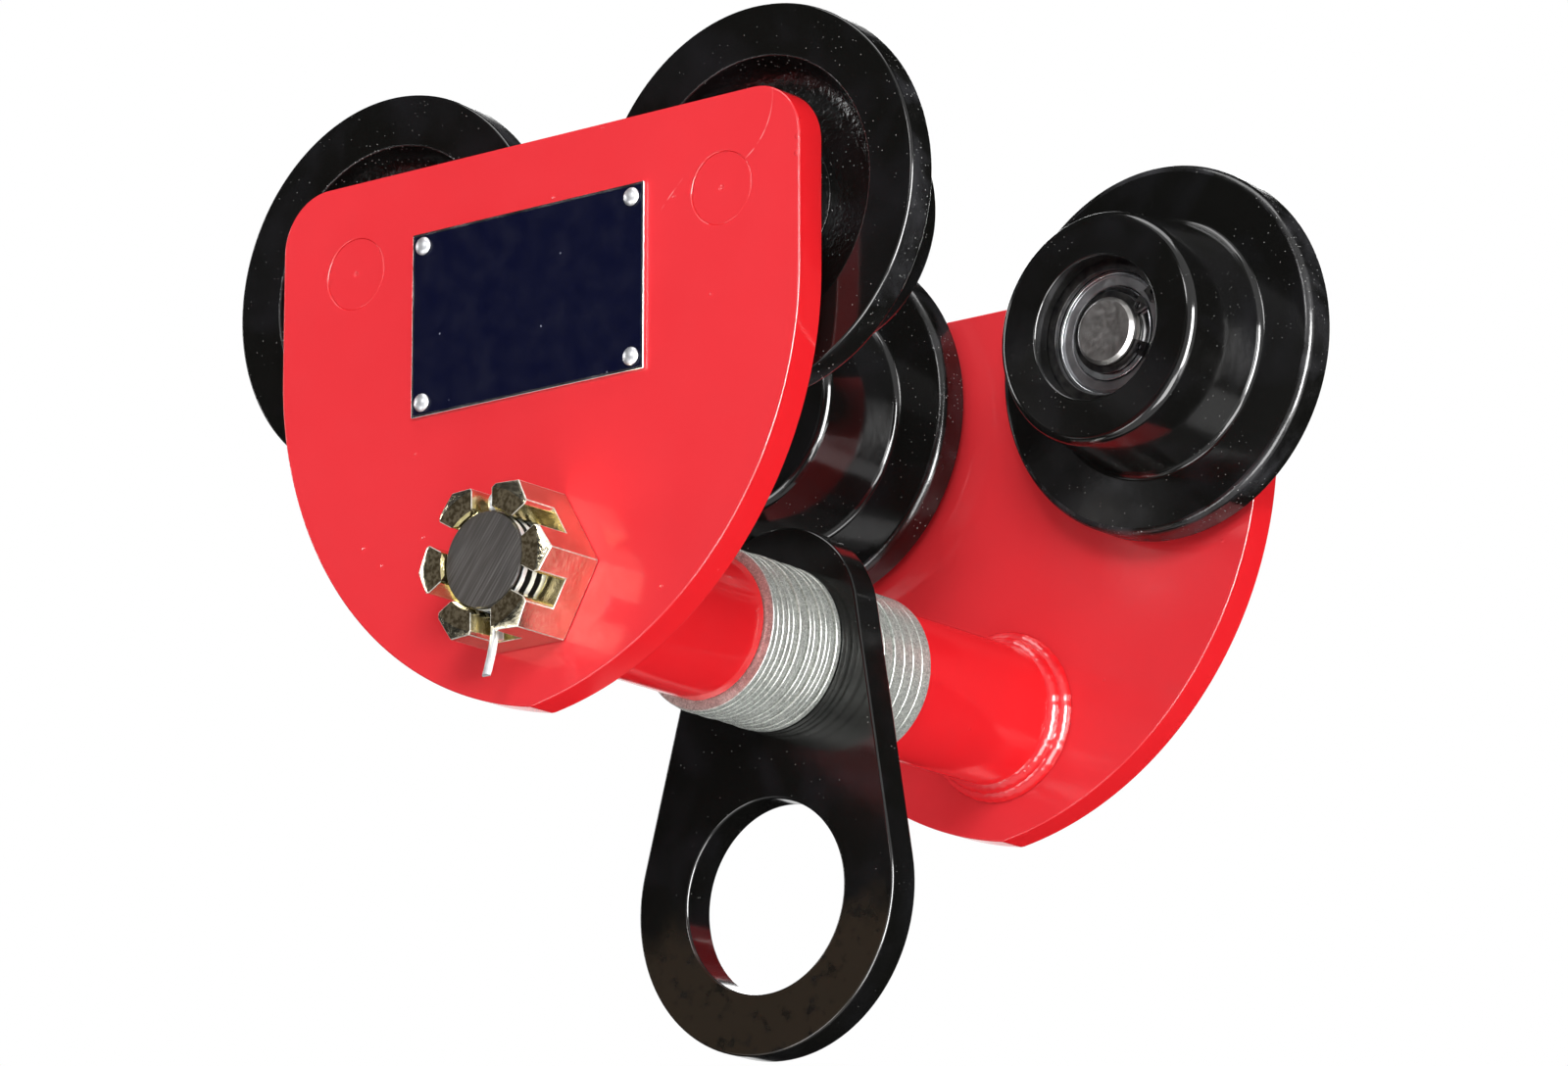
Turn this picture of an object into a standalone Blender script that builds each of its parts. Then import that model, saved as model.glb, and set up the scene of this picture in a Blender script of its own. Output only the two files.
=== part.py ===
"""Push trolley: two side plates with two flanged wheels on the inner side of each, and a threaded
load shaft between the plates that carries a swinging suspension plate.

X runs along the way the wheels roll, Y across it and Z up. The origin lies on the plane that the
wheel treads bear on, midway between the wheels and between the side plates.
Near is the -Y side and far the +Y side, left is -X and right +X. All lengths are in metres.
"""

import math

import bmesh
import bpy

MM = 0.001

# Clearances between neighbouring pieces
SEAT_GAP = 0.3 * MM
SHAFT_PLAY = 0.5 * MM
WASHER_DROP = 0.25 * MM

# Side plates
PLATE_WIDTH = 185.0 * MM
PLATE_THICKNESS = 10.0 * MM
PLATE_SPACING = 203.0 * MM
PLATE_CORNER_RADIUS = 16.0 * MM
PLATE_STRAIGHT_SIDE = 36.3 * MM
PLATE_SIDE_RADIUS = 110.0 * MM
PLATE_TIP_RADIUS = 5.0 * MM
PLATE_EDGE_ROUND = 0.9 * MM
PLATE_TOP_ABOVE_AXLES = 26.5 * MM

# Wheels
WHEELBASE = 131.2 * MM
WHEEL_PLATE_GAP = 3.2 * MM
WHEEL_WIDTH = 39.1 * MM
FLANGE_RADIUS = 55.0 * MM
FLANGE_THICKNESS = 10.0 * MM
FLANGE_EDGE_ROUND = 2.2 * MM
TREAD_RADIUS = 37.5 * MM
TREAD_END_RADIUS = 34.2 * MM
TREAD_FILLET = 2.0 * MM
TREAD_END_ROUND = 2.8 * MM
DISH_RADIUS = 40.0 * MM
DISH_DEPTH = 9.0 * MM
HUB_RADIUS = 20.0 * MM
HUB_FACE_DEPTH = 4.0 * MM
HUB_BORE_RADIUS = 15.5 * MM

# Ball bearings, one in each wheel
BEARING_BORE = 20.0 * MM
BEARING_OUTSIDE = 42.0 * MM
BEARING_WIDTH = 12.0 * MM
BEARING_INSET = 18.8 * MM
INNER_RACE_RADIUS = 13.8 * MM
OUTER_RACE_RADIUS = 17.6 * MM
SHIELD_THICKNESS = 1.0 * MM

# Retaining rings: one in the wheel's bore, one on the axle
BORE_RING_THICKNESS = 1.75 * MM
BORE_RING_SECTION = 3.6 * MM
BORE_GROOVE_DEPTH = 1.2 * MM
AXLE_RING_THICKNESS = 1.2 * MM
AXLE_RING_SECTION = 2.4 * MM
AXLE_GROOVE_DEPTH = 0.7 * MM
RING_EAR = 2.4 * MM
RING_EAR_WIDTH = 4.4 * MM
RING_EAR_HOLE = 1.0 * MM
RING_OPENING = math.radians(44.0)

# Axles
AXLE_SHOULDER_RADIUS = 13.0 * MM
AXLE_STUB = 2.0 * MM
AXLE_END_CHAMFER = 1.0 * MM

# Load shaft
SHAFT_DIAMETER = 27.0 * MM
SHAFT_ABOVE_TIP = 36.98 * MM
SHAFT_STICKOUT = 20.4 * MM

# Slotted nuts on the ends of the shaft
NUT_ACROSS_FLATS = 41.0 * MM
NUT_HEIGHT = 21.2 * MM
NUT_FACE_DIAMETER = 37.5 * MM
NUT_CHAMFER = math.radians(30.0)
NUT_SLOT_WIDTH = 7.0 * MM
NUT_SLOT_DEPTH = 12.0 * MM

# Split pins through the shaft and the nuts' slots
PIN_WIRE = 2.2 * MM
PIN_FROM_SHAFT_END = 6.0 * MM
PIN_EYE_RADIUS = 2.9 * MM
PIN_LONG_LEG = 32.0 * MM
PIN_SHORT_LEG = 21.0 * MM
PIN_LEG_BEND = 3.4 * MM
PIN_BEND_START = 18.0 * MM
FAR_PIN_TURN = math.radians(60.0)

# Tubes welded inside the plates, round the shaft
TUBE_OUTSIDE = 42.0 * MM
TUBE_END_CHAMFER = 0.8 * MM
WELD_ON_PLATE = 4.3 * MM
WELD_ON_TUBE = 5.7 * MM
WELD_CROWN = 0.6 * MM

# Adjusting washers on the shaft
WASHER_OUTSIDE = 47.5 * MM
WASHER_BORE = 28.4 * MM
THIN_WASHER = 2.07 * MM
NEAR_WASHERS = 13
THICK_WASHER = 4.2 * MM
FAR_WASHERS = 7

# Suspension plate, which hangs on the shaft and swings a little to the left
EYE_THICKNESS = 10.5 * MM
EYE_TOP_RADIUS = 28.8 * MM
EYE_TOP_RISE = 6.1 * MM
EYE_BOTTOM_RADIUS = 45.4 * MM
EYE_HOLE_RADIUS = 27.8 * MM
EYE_HOLE_DROP = 71.0 * MM
EYE_EDGE_ROUND = 0.8 * MM
EYE_SWING = math.radians(3.0)

# Nameplate and its rivets
NAMEPLATE_WIDTH = 83.0 * MM
NAMEPLATE_HEIGHT = 53.0 * MM
NAMEPLATE_THICKNESS = 0.8 * MM
NAMEPLATE_SHIFT = -2.0 * MM
NAMEPLATE_BELOW_AXLES = 19.7 * MM
RIVET_INSET_X = 4.1 * MM
RIVET_INSET_Z = 3.9 * MM
RIVET_HEAD_RADIUS = 2.6 * MM
RIVET_HEAD_HEIGHT = 1.3 * MM
RIVET_SHANK_RADIUS = 1.5 * MM
RIVET_LENGTH = 6.0 * MM

# Facets round a full turn, and the working distances of the modelling steps
WHEEL_STEPS = 28
SHAFT_STEPS = 28
WASHER_STEPS = 20
BEARING_STEPS = 20
PIN_HOLE_STEPS = 12
RIVET_STEPS = 10
EAR_HOLE_STEPS = 6
FINE_STEP = math.radians(6.0)
ARC_STEP = math.radians(20.0)
RING_STEP = math.radians(30.0)
COARSE_STEP = math.radians(46.0)
SMOOTH_ANGLE = math.radians(35.0)
WELD_DISTANCE = 0.002 * MM
CUT_EXTRA = 2.0 * MM

# Places worked out from the dimensions above
INNER_FACE = PLATE_SPACING / 2
OUTER_FACE = INNER_FACE + PLATE_THICKNESS
AXLE_RADIUS = BEARING_BORE / 2
AXLE_HOLE_RADIUS = AXLE_RADIUS + SEAT_GAP
AXLE_Z = TREAD_RADIUS
PLATE_ARC_X = PLATE_SIDE_RADIUS - PLATE_WIDTH / 2
PLATE_ARC_Y = PLATE_TOP_ABOVE_AXLES - PLATE_CORNER_RADIUS - PLATE_STRAIGHT_SIDE
PLATE_TIP_Y = PLATE_ARC_Y - math.sqrt((PLATE_SIDE_RADIUS - PLATE_TIP_RADIUS) ** 2 - PLATE_ARC_X**2)
SHAFT_Z = AXLE_Z + PLATE_TIP_Y - PLATE_TIP_RADIUS + SHAFT_ABOVE_TIP
SHAFT_RADIUS = SHAFT_DIAMETER / 2
SHAFT_HOLE_RADIUS = SHAFT_RADIUS + SHAFT_PLAY
SHAFT_END = OUTER_FACE + SHAFT_STICKOUT
BEARING_START = WHEEL_PLATE_GAP + BEARING_INSET
BEARING_END = BEARING_START + BEARING_WIDTH
PIN_LEG = (PIN_WIRE + SEAT_GAP) / 2
PIN_HOLE_RADIUS = PIN_LEG + PIN_WIRE / 2 + SEAT_GAP
NAMEPLATE_Z = AXLE_Z - NAMEPLATE_BELOW_AXLES
NAMEPLATE_FRONT = OUTER_FACE + SEAT_GAP + NAMEPLATE_THICKNESS
RIVET_DEPTH = RIVET_LENGTH - NAMEPLATE_THICKNESS - SEAT_GAP
QUARTER = math.pi / 2

# Rotations that turn local +Z towards world +Y or world -Y
TOWARDS_FAR = (-QUARTER, 0.0, 0.0)
TOWARDS_NEAR = (QUARTER, 0.0, 0.0)
UNTURNED = (0.0, 0.0, 0.0)

PARTS = "beam_trolley"
CUTTERS = "cutters"


def clear_scene():
    for obj in list(bpy.data.objects):
        bpy.data.objects.remove(obj)


def add_collections():
    for name in (PARTS, CUTTERS):
        collection = bpy.data.collections.new(name)
        bpy.context.scene.collection.children.link(collection)
    bpy.data.collections[CUTTERS].hide_render = True


def finish(name, colour, roughness, metallic=0.0):
    material = bpy.data.materials.new(name)
    material.use_nodes = True
    shader = material.node_tree.nodes["Principled BSDF"]
    shader.inputs["Base Color"].default_value = (*colour, 1.0)
    shader.inputs["Roughness"].default_value = roughness
    shader.inputs["Metallic"].default_value = metallic
    material.diffuse_color = (*colour, 1.0)
    return material


def red_enamel():
    return finish("red_enamel", (0.80, 0.04, 0.05), 0.25)


def black_enamel():
    return finish("black_enamel", (0.012, 0.012, 0.012), 0.22)


def nameplate_blue():
    return finish("nameplate_blue", (0.012, 0.014, 0.055), 0.30)


def bright_zinc():
    return finish("bright_zinc", (0.62, 0.64, 0.61), 0.35, 1.0)


def yellow_zinc():
    return finish("yellow_zinc", (0.70, 0.62, 0.38), 0.30, 1.0)


def dark_steel():
    return finish("dark_steel", (0.10, 0.095, 0.09), 0.40, 1.0)


def bearing_steel():
    return finish("bearing_steel", (0.55, 0.56, 0.58), 0.22, 1.0)


def rivet_aluminium():
    return finish("rivet_aluminium", (0.80, 0.81, 0.83), 0.30, 1.0)


def place(name, mesh, material, location, rotation=UNTURNED, parent=None):
    """One named piece of the trolley. Copies of a piece share their mesh."""
    obj = bpy.data.objects.new(name, mesh)
    if not mesh.materials:
        mesh.materials.append(material)
    obj.location = location
    obj.rotation_euler = rotation
    obj.parent = parent
    bpy.data.collections[PARTS].objects.link(obj)
    return obj


def working_object(name, data):
    obj = bpy.data.objects.new(name, data)
    bpy.data.collections[CUTTERS].objects.link(obj)
    return obj


def finished_mesh(obj):
    """The evaluated mesh of a working object, welded and shaded smooth. The object is removed."""
    bpy.context.view_layer.update()
    graph = bpy.context.evaluated_depsgraph_get()
    mesh = bpy.data.meshes.new_from_object(obj.evaluated_get(graph))
    mesh.name = obj.name
    bpy.data.objects.remove(obj)
    work = bmesh.new()
    work.from_mesh(mesh)
    bmesh.ops.remove_doubles(work, verts=work.verts, dist=WELD_DISTANCE)
    bmesh.ops.recalc_face_normals(work, faces=work.faces)
    work.to_mesh(mesh)
    work.free()
    mesh.shade_smooth()
    mesh.set_sharp_from_angle(angle=SMOOTH_ANGLE)
    return mesh


def turned(name, profile, steps, closed=True):
    """A mesh turned round Z. The profile's (radius, height) points run down its outer side."""
    edges = [(i, i + 1) for i in range(len(profile) - 1)]
    if closed:
        edges.append((len(profile) - 1, 0))
    outline = bpy.data.meshes.new(name)
    outline.from_pydata([(radius, 0.0, height) for radius, height in profile], edges, [])
    obj = working_object(name, outline)
    screw = obj.modifiers.new("Turn", "SCREW")
    screw.steps = steps
    screw.render_steps = steps
    screw.use_merge_vertices = True
    screw.merge_threshold = WELD_DISTANCE
    return finished_mesh(obj)


def ring(name, outer, inner, height, steps):
    """A turned ring of rectangular section, standing on Z = 0."""
    return turned(name, [(outer, height), (outer, 0.0), (inner, 0.0), (inner, height)], steps)


def flat(name, loops, thickness, edge_round=0.0):
    """A flat blank in the XY plane, centred on its thickness. Loops after the first are holes."""
    curve = bpy.data.curves.new(name, "CURVE")
    curve.dimensions = "2D"
    curve.fill_mode = "BOTH"
    curve.extrude = thickness / 2
    for loop in loops:
        spline = curve.splines.new("POLY")
        spline.points.add(len(loop) - 1)
        for point, (x, y) in zip(spline.points, loop):
            point.co = (x, y, 0.0, 1.0)
        spline.use_cyclic_u = True
    obj = working_object(name, curve)
    if edge_round:
        weld = obj.modifiers.new("Weld", "WELD")
        weld.merge_threshold = WELD_DISTANCE
        bevel = obj.modifiers.new("Round", "BEVEL")
        bevel.width = edge_round
        bevel.segments = 1
        bevel.limit_method = "ANGLE"
        bevel.angle_limit = math.radians(60.0)
    return finished_mesh(obj)


def arc(x, y, radius, start, end, step=ARC_STEP):
    """Points along an arc from one angle to the other, both ends included."""
    spans = max(1, math.ceil(abs(end - start) / step))
    turns = [start + (end - start) * i / spans for i in range(spans + 1)]
    return [(x + radius * math.cos(turn), y + radius * math.sin(turn)) for turn in turns]


def circle(x, y, radius, steps):
    return arc(x, y, radius, 0.0, 2 * math.pi, 2 * math.pi / steps)[:steps]


def cutter(name, mesh, location=(0.0, 0.0, 0.0), rotation=UNTURNED):
    obj = working_object(name, mesh)
    obj.location = location
    obj.rotation_euler = rotation
    obj.hide_render = True
    obj.display_type = "WIRE"
    return obj


def rod(name, radius, length, steps):
    """A plain cylinder along Z, centred on the origin."""
    mesh = bpy.data.meshes.new(name)
    work = bmesh.new()
    bmesh.ops.create_cone(
        work, cap_ends=True, segments=steps, radius1=radius, radius2=radius, depth=length
    )
    work.to_mesh(mesh)
    work.free()
    return mesh


def block(name, width, length, bottom, top):
    """A box centred on the Z axis, from bottom to top."""
    mesh = bpy.data.meshes.new(name)
    work = bmesh.new()
    bmesh.ops.create_cube(work, size=1.0)
    bmesh.ops.scale(work, vec=(width, length, top - bottom), verts=work.verts)
    bmesh.ops.translate(work, vec=(0.0, 0.0, (top + bottom) / 2), verts=work.verts)
    work.to_mesh(mesh)
    work.free()
    return mesh


def cut(obj, tool, operation="DIFFERENCE"):
    boolean = obj.modifiers.new(tool.name, "BOOLEAN")
    boolean.operation = operation
    boolean.object = tool


def side_plate_outline():
    """The plate seen from the side, about the axle line: two round top corners, two straight
    sides, and two large arcs that meet in a rounded tip under the load shaft."""
    corner_x = PLATE_WIDTH / 2 - PLATE_CORNER_RADIUS
    corner_y = PLATE_TOP_ABOVE_AXLES - PLATE_CORNER_RADIUS
    meet = math.atan2(PLATE_TIP_Y - PLATE_ARC_Y, PLATE_ARC_X)
    other = -math.pi - meet
    points = arc(corner_x, corner_y, PLATE_CORNER_RADIUS, QUARTER, 0.0)
    points += arc(-PLATE_ARC_X, PLATE_ARC_Y, PLATE_SIDE_RADIUS, 0.0, meet, FINE_STEP)
    points += arc(0.0, PLATE_TIP_Y, PLATE_TIP_RADIUS, meet, other)[1:-1]
    points += arc(PLATE_ARC_X, PLATE_ARC_Y, PLATE_SIDE_RADIUS, other, -math.pi, FINE_STEP)
    points += arc(-corner_x, corner_y, PLATE_CORNER_RADIUS, math.pi, QUARTER)
    return points


def rivet_places():
    """Centres of the nameplate's rivets, measured from the middle of the nameplate."""
    reach_x = NAMEPLATE_WIDTH / 2 - RIVET_INSET_X
    reach_z = NAMEPLATE_HEIGHT / 2 - RIVET_INSET_Z
    return [(side_x * reach_x, side_z * reach_z) for side_z in (1, -1) for side_x in (-1, 1)]


def make_side_plates(material):
    """Two flame-cut plates, bored for both axles and the load shaft."""
    blank = flat("side_plate", [side_plate_outline()], PLATE_THICKNESS, PLATE_EDGE_ROUND)
    through = 2 * (OUTER_FACE + CUT_EXTRA)
    axle_hole = rod("axle_hole", AXLE_HOLE_RADIUS, through, BEARING_STEPS)
    shaft_hole = rod("shaft_hole", SHAFT_HOLE_RADIUS, through, SHAFT_STEPS)
    holes = [
        cutter("axle_hole_left", axle_hole, (-WHEELBASE / 2, 0.0, AXLE_Z), TOWARDS_FAR),
        cutter("axle_hole_right", axle_hole, (WHEELBASE / 2, 0.0, AXLE_Z), TOWARDS_FAR),
        cutter("shaft_hole", shaft_hole, (0.0, 0.0, SHAFT_Z), TOWARDS_FAR),
    ]
    middle = INNER_FACE + PLATE_THICKNESS / 2
    near = place("side_plate_near", blank, material, (0.0, -middle, AXLE_Z), TOWARDS_NEAR)
    far = place("side_plate_far", blank, material, (0.0, middle, AXLE_Z), TOWARDS_NEAR)
    for hole in holes:
        cut(near, hole)
        cut(far, hole)
    drilled = rod("rivet_hole", RIVET_SHANK_RADIUS + SEAT_GAP, 2 * RIVET_DEPTH, RIVET_STEPS)
    for number, (x, z) in enumerate(rivet_places(), 1):
        spot = (NAMEPLATE_SHIFT + x, -OUTER_FACE, NAMEPLATE_Z + z)
        cut(near, cutter(f"rivet_hole_{number}", drilled, spot, TOWARDS_FAR))


def wheel_mesh():
    """A cast wheel. Height 0 is the flange's face beside the plate, and the tread lies inboard."""
    bore = BEARING_OUTSIDE / 2 + SEAT_GAP
    seat_end = BEARING_INSET + BEARING_WIDTH
    groove_end = seat_end + BORE_RING_THICKNESS + 2 * SEAT_GAP
    taper = (TREAD_RADIUS - TREAD_END_RADIUS) / (WHEEL_WIDTH - FLANGE_THICKNESS)
    rim = FLANGE_RADIUS - FLANGE_EDGE_ROUND
    profile = [(bore, WHEEL_WIDTH)]
    profile += arc(
        TREAD_END_RADIUS - TREAD_END_ROUND,
        WHEEL_WIDTH - TREAD_END_ROUND,
        TREAD_END_ROUND,
        QUARTER,
        math.atan(taper),
        COARSE_STEP,
    )
    profile += arc(
        TREAD_RADIUS + TREAD_FILLET,
        FLANGE_THICKNESS + TREAD_FILLET,
        TREAD_FILLET,
        math.pi,
        3 * QUARTER,
        2 * COARSE_STEP,
    )
    outer_edge = FLANGE_THICKNESS - FLANGE_EDGE_ROUND
    profile += arc(rim, outer_edge, FLANGE_EDGE_ROUND, QUARTER, 0.0, COARSE_STEP)
    profile += arc(rim, FLANGE_EDGE_ROUND, FLANGE_EDGE_ROUND, 0.0, -QUARTER, COARSE_STEP)
    profile += arc(DISH_RADIUS - DISH_DEPTH, 0.0, DISH_DEPTH, 0.0, QUARTER, COARSE_STEP)
    profile += [
        (HUB_RADIUS, DISH_DEPTH),
        (HUB_RADIUS, HUB_FACE_DEPTH),
        (HUB_BORE_RADIUS, HUB_FACE_DEPTH),
        (HUB_BORE_RADIUS, BEARING_INSET - SEAT_GAP),
        (bore, BEARING_INSET - SEAT_GAP),
        (bore, seat_end),
        (bore + BORE_GROOVE_DEPTH, seat_end),
        (bore + BORE_GROOVE_DEPTH, groove_end),
        (bore, groove_end),
    ]
    return turned("wheel", profile, WHEEL_STEPS)


def axle_mesh():
    """An axle: height 0 is the plate's inner face, and its root ends flush with the outer face."""
    groove_end = BEARING_END + AXLE_RING_THICKNESS + 2 * SEAT_GAP
    tip = groove_end + AXLE_STUB
    profile = [
        (0.0, tip),
        (AXLE_RADIUS - AXLE_END_CHAMFER, tip),
        (AXLE_RADIUS, tip - AXLE_END_CHAMFER),
        (AXLE_RADIUS, groove_end),
        (AXLE_RADIUS - AXLE_GROOVE_DEPTH, groove_end),
        (AXLE_RADIUS - AXLE_GROOVE_DEPTH, BEARING_END),
        (AXLE_RADIUS, BEARING_END),
        (AXLE_RADIUS, BEARING_START - SEAT_GAP),
        (AXLE_SHOULDER_RADIUS, BEARING_START - SEAT_GAP),
        (AXLE_SHOULDER_RADIUS, SEAT_GAP),
        (AXLE_RADIUS, SEAT_GAP),
        (AXLE_RADIUS, -PLATE_THICKNESS),
        (0.0, -PLATE_THICKNESS),
    ]
    return turned("axle", profile, BEARING_STEPS, closed=False)


def bearing_outer_mesh():
    """An outer bearing ring with both shields, which reach in to the inner ring."""
    shield = INNER_RACE_RADIUS + SEAT_GAP
    profile = [
        (BEARING_OUTSIDE / 2, BEARING_WIDTH),
        (BEARING_OUTSIDE / 2, 0.0),
        (shield, 0.0),
        (shield, SHIELD_THICKNESS),
        (OUTER_RACE_RADIUS, SHIELD_THICKNESS),
        (OUTER_RACE_RADIUS, BEARING_WIDTH - SHIELD_THICKNESS),
        (shield, BEARING_WIDTH - SHIELD_THICKNESS),
        (shield, BEARING_WIDTH),
    ]
    return turned("bearing_outer", profile, BEARING_STEPS)


def retaining_ring(name, plain_radius, section, side, thickness):
    """An open spring ring. Its ears stand outwards where side is 1 and inwards where it is -1."""
    edge = plain_radius + side * section
    tip = edge + side * RING_EAR
    start = RING_OPENING / 2
    end = 2 * math.pi - start
    ear = RING_EAR_WIDTH / tip
    loop = arc(0.0, 0.0, plain_radius, start, end, RING_STEP)
    loop += arc(0.0, 0.0, tip, end, end - ear, COARSE_STEP)
    loop += arc(0.0, 0.0, edge, end - ear, start + ear, RING_STEP)
    loop += arc(0.0, 0.0, tip, start + ear, start, COARSE_STEP)
    holes = [
        circle(edge * math.cos(turn), edge * math.sin(turn), RING_EAR_HOLE, EAR_HOLE_STEPS)
        for turn in (start + ear / 2, end - ear / 2)
    ]
    return flat(name, [loop, *holes], thickness)


def make_wheels(black, steel, axle_steel, ring_steel):
    """Four wheels, each on its own bearing and axle, held by a ring in its bore and on its axle."""
    wheel = wheel_mesh()
    axle = axle_mesh()
    outer = bearing_outer_mesh()
    inner = ring(
        "bearing_inner", INNER_RACE_RADIUS, AXLE_RADIUS + SEAT_GAP, BEARING_WIDTH, BEARING_STEPS
    )
    groove = BEARING_OUTSIDE / 2 + BORE_GROOVE_DEPTH
    bore_ring = retaining_ring("bore_ring", groove, BORE_RING_SECTION, -1, BORE_RING_THICKNESS)
    neck = AXLE_RADIUS - AXLE_GROOVE_DEPTH + SEAT_GAP
    axle_ring = retaining_ring("axle_ring", neck, AXLE_RING_SECTION, 1, AXLE_RING_THICKNESS)
    bore_ring_at = BEARING_INSET + BEARING_WIDTH + SEAT_GAP + BORE_RING_THICKNESS / 2
    axle_ring_at = BEARING_END + SEAT_GAP + AXLE_RING_THICKNESS / 2
    for row, side, inboard in (("near", -1, TOWARDS_FAR), ("far", 1, TOWARDS_NEAR)):
        for place_name, along in (("left", -1), ("right", 1)):
            name = f"{row}_{place_name}"
            x = along * WHEELBASE / 2
            root = (x, side * INNER_FACE, AXLE_Z)
            hub = (x, side * (INNER_FACE - WHEEL_PLATE_GAP), AXLE_Z)
            stub = place(f"axle_{name}", axle, axle_steel, root, inboard)
            rim = place(f"wheel_{name}", wheel, black, hub, inboard)
            up = (0.0, 0.0, BEARING_INSET)
            place(f"bearing_outer_{name}", outer, steel, up, parent=rim)
            place(f"bore_ring_{name}", bore_ring, ring_steel, (0.0, 0.0, bore_ring_at), parent=rim)
            place(f"bearing_inner_{name}", inner, steel, (0.0, 0.0, BEARING_START), parent=stub)
            place(f"axle_ring_{name}", axle_ring, ring_steel, (0.0, 0.0, axle_ring_at), parent=stub)


def stack_depth(washer, count):
    """Distance from the suspension plate's middle to the end of the tube past a washer stack."""
    return EYE_THICKNESS / 2 + count * washer + (count + 1) * SEAT_GAP


def make_tube(name, material, reach, side, inboard):
    """A spacer tube with the fillet weld that joins it to its side plate."""
    length = INNER_FACE - SEAT_GAP - reach
    outside = TUBE_OUTSIDE / 2
    crown = WELD_CROWN * math.sqrt(0.5)
    profile = [
        (outside - TUBE_END_CHAMFER, length),
        (outside, length - TUBE_END_CHAMFER),
        (outside, WELD_ON_TUBE),
        (outside + WELD_ON_PLATE / 2 + crown, WELD_ON_TUBE / 2 + crown),
        (outside + WELD_ON_PLATE, 0.0),
        (SHAFT_HOLE_RADIUS, 0.0),
        (SHAFT_HOLE_RADIUS, length),
    ]
    mesh = turned(name, profile, SHAFT_STEPS)
    place(name, mesh, material, (0.0, side * (INNER_FACE - SEAT_GAP), SHAFT_Z), inboard)


def make_washers(row, side, thickness, count, material):
    """A stack of washers between the suspension plate and the end of a tube."""
    washer = ring(f"washer_{row}", WASHER_OUTSIDE / 2, WASHER_BORE / 2, thickness, WASHER_STEPS)
    for number in range(count):
        start = EYE_THICKNESS / 2 + SEAT_GAP + number * (thickness + SEAT_GAP)
        spot = (0.0, side * start, SHAFT_Z - WASHER_DROP)
        outward = TOWARDS_NEAR if side < 0 else TOWARDS_FAR
        place(f"washer_{row}_{number + 1:02d}", washer, material, spot, outward)


def make_load_shaft(material):
    """The threaded shaft, cross-drilled near each end for its split pin. The far nut is locked in
    another of its slots, so the far hole is turned."""
    profile = [(0.0, SHAFT_END), (SHAFT_RADIUS, SHAFT_END), (SHAFT_RADIUS, -SHAFT_END), (0.0, -SHAFT_END)]
    mesh = turned("load_shaft", profile, SHAFT_STEPS, closed=False)
    shaft = place("load_shaft", mesh, material, (0.0, 0.0, SHAFT_Z), TOWARDS_FAR)
    drill = rod("pin_hole", PIN_HOLE_RADIUS, SHAFT_DIAMETER + 2 * CUT_EXTRA, PIN_HOLE_STEPS)
    for row, side, turn in (("near", -1, 0.0), ("far", 1, FAR_PIN_TURN)):
        at = side * (SHAFT_END - PIN_FROM_SHAFT_END)
        cut(shaft, cutter(f"pin_hole_{row}", drill, (0.0, at, SHAFT_Z), (0.0, turn, 0.0)))


def nut_mesh():
    """A slotted hexagon nut, chamfered at both faces. Local +Z points away from the plate."""
    corner = NUT_ACROSS_FLATS / 2 / math.cos(math.pi / 6)
    half = NUT_HEIGHT / 2
    wide = corner + CUT_EXTRA
    fall = (wide - NUT_FACE_DIAMETER / 2) * math.tan(NUT_CHAMFER)
    narrow = NUT_FACE_DIAMETER / 2 - CUT_EXTRA / math.tan(NUT_CHAMFER)
    cone = [
        (0.0, half + CUT_EXTRA),
        (narrow, half + CUT_EXTRA),
        (wide, half - fall),
        (wide, fall - half),
        (narrow, -half - CUT_EXTRA),
        (0.0, -half - CUT_EXTRA),
    ]
    hexagon = flat("slotted_nut", [circle(0.0, 0.0, corner, 6)], NUT_HEIGHT)
    nut = working_object("slotted_nut", hexagon)
    chamfer = cutter("nut_chamfer", turned("nut_chamfer", cone, SHAFT_STEPS, closed=False))
    cut(nut, chamfer, "INTERSECT")
    bore = rod("nut_bore", SHAFT_RADIUS + SEAT_GAP, NUT_HEIGHT + 2 * CUT_EXTRA, SHAFT_STEPS)
    cut(nut, cutter("nut_bore", bore))
    slot = block("nut_slot", NUT_SLOT_WIDTH, 2 * wide, half - NUT_SLOT_DEPTH, half + CUT_EXTRA)
    for number in range(3):
        turn = (0.0, 0.0, number * math.pi / 3)
        cut(nut, cutter(f"nut_slot_{number + 1}", slot, rotation=turn))
    return finished_mesh(nut)


def split_pin_mesh():
    """A split pin in the XY plane, upright: X points out of the shaft's end. Its eye sits on the
    shaft, and the outer leg is longer than the inner one and bent outwards."""
    open_angle = math.acos(PIN_LEG / PIN_EYE_RADIUS)
    neck = SHAFT_RADIUS + SEAT_GAP
    eye = neck + PIN_EYE_RADIUS * math.sin(open_angle)
    route = [(PIN_LEG + PIN_LEG_BEND, -PIN_LONG_LEG), (PIN_LEG, -PIN_BEND_START)]
    route += arc(0.0, eye, PIN_EYE_RADIUS, -open_angle, math.pi + open_angle, 2 * ARC_STEP)
    route += [(-PIN_LEG, -PIN_SHORT_LEG)]
    curve = bpy.data.curves.new("split_pin", "CURVE")
    curve.dimensions = "3D"
    curve.bevel_depth = PIN_WIRE / 2
    curve.bevel_resolution = 2
    curve.use_fill_caps = True
    spline = curve.splines.new("POLY")
    spline.points.add(len(route) - 1)
    for point, (x, y) in zip(spline.points, route):
        point.co = (x, y, 0.0, 1.0)
    return finished_mesh(working_object("split_pin", curve))


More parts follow.
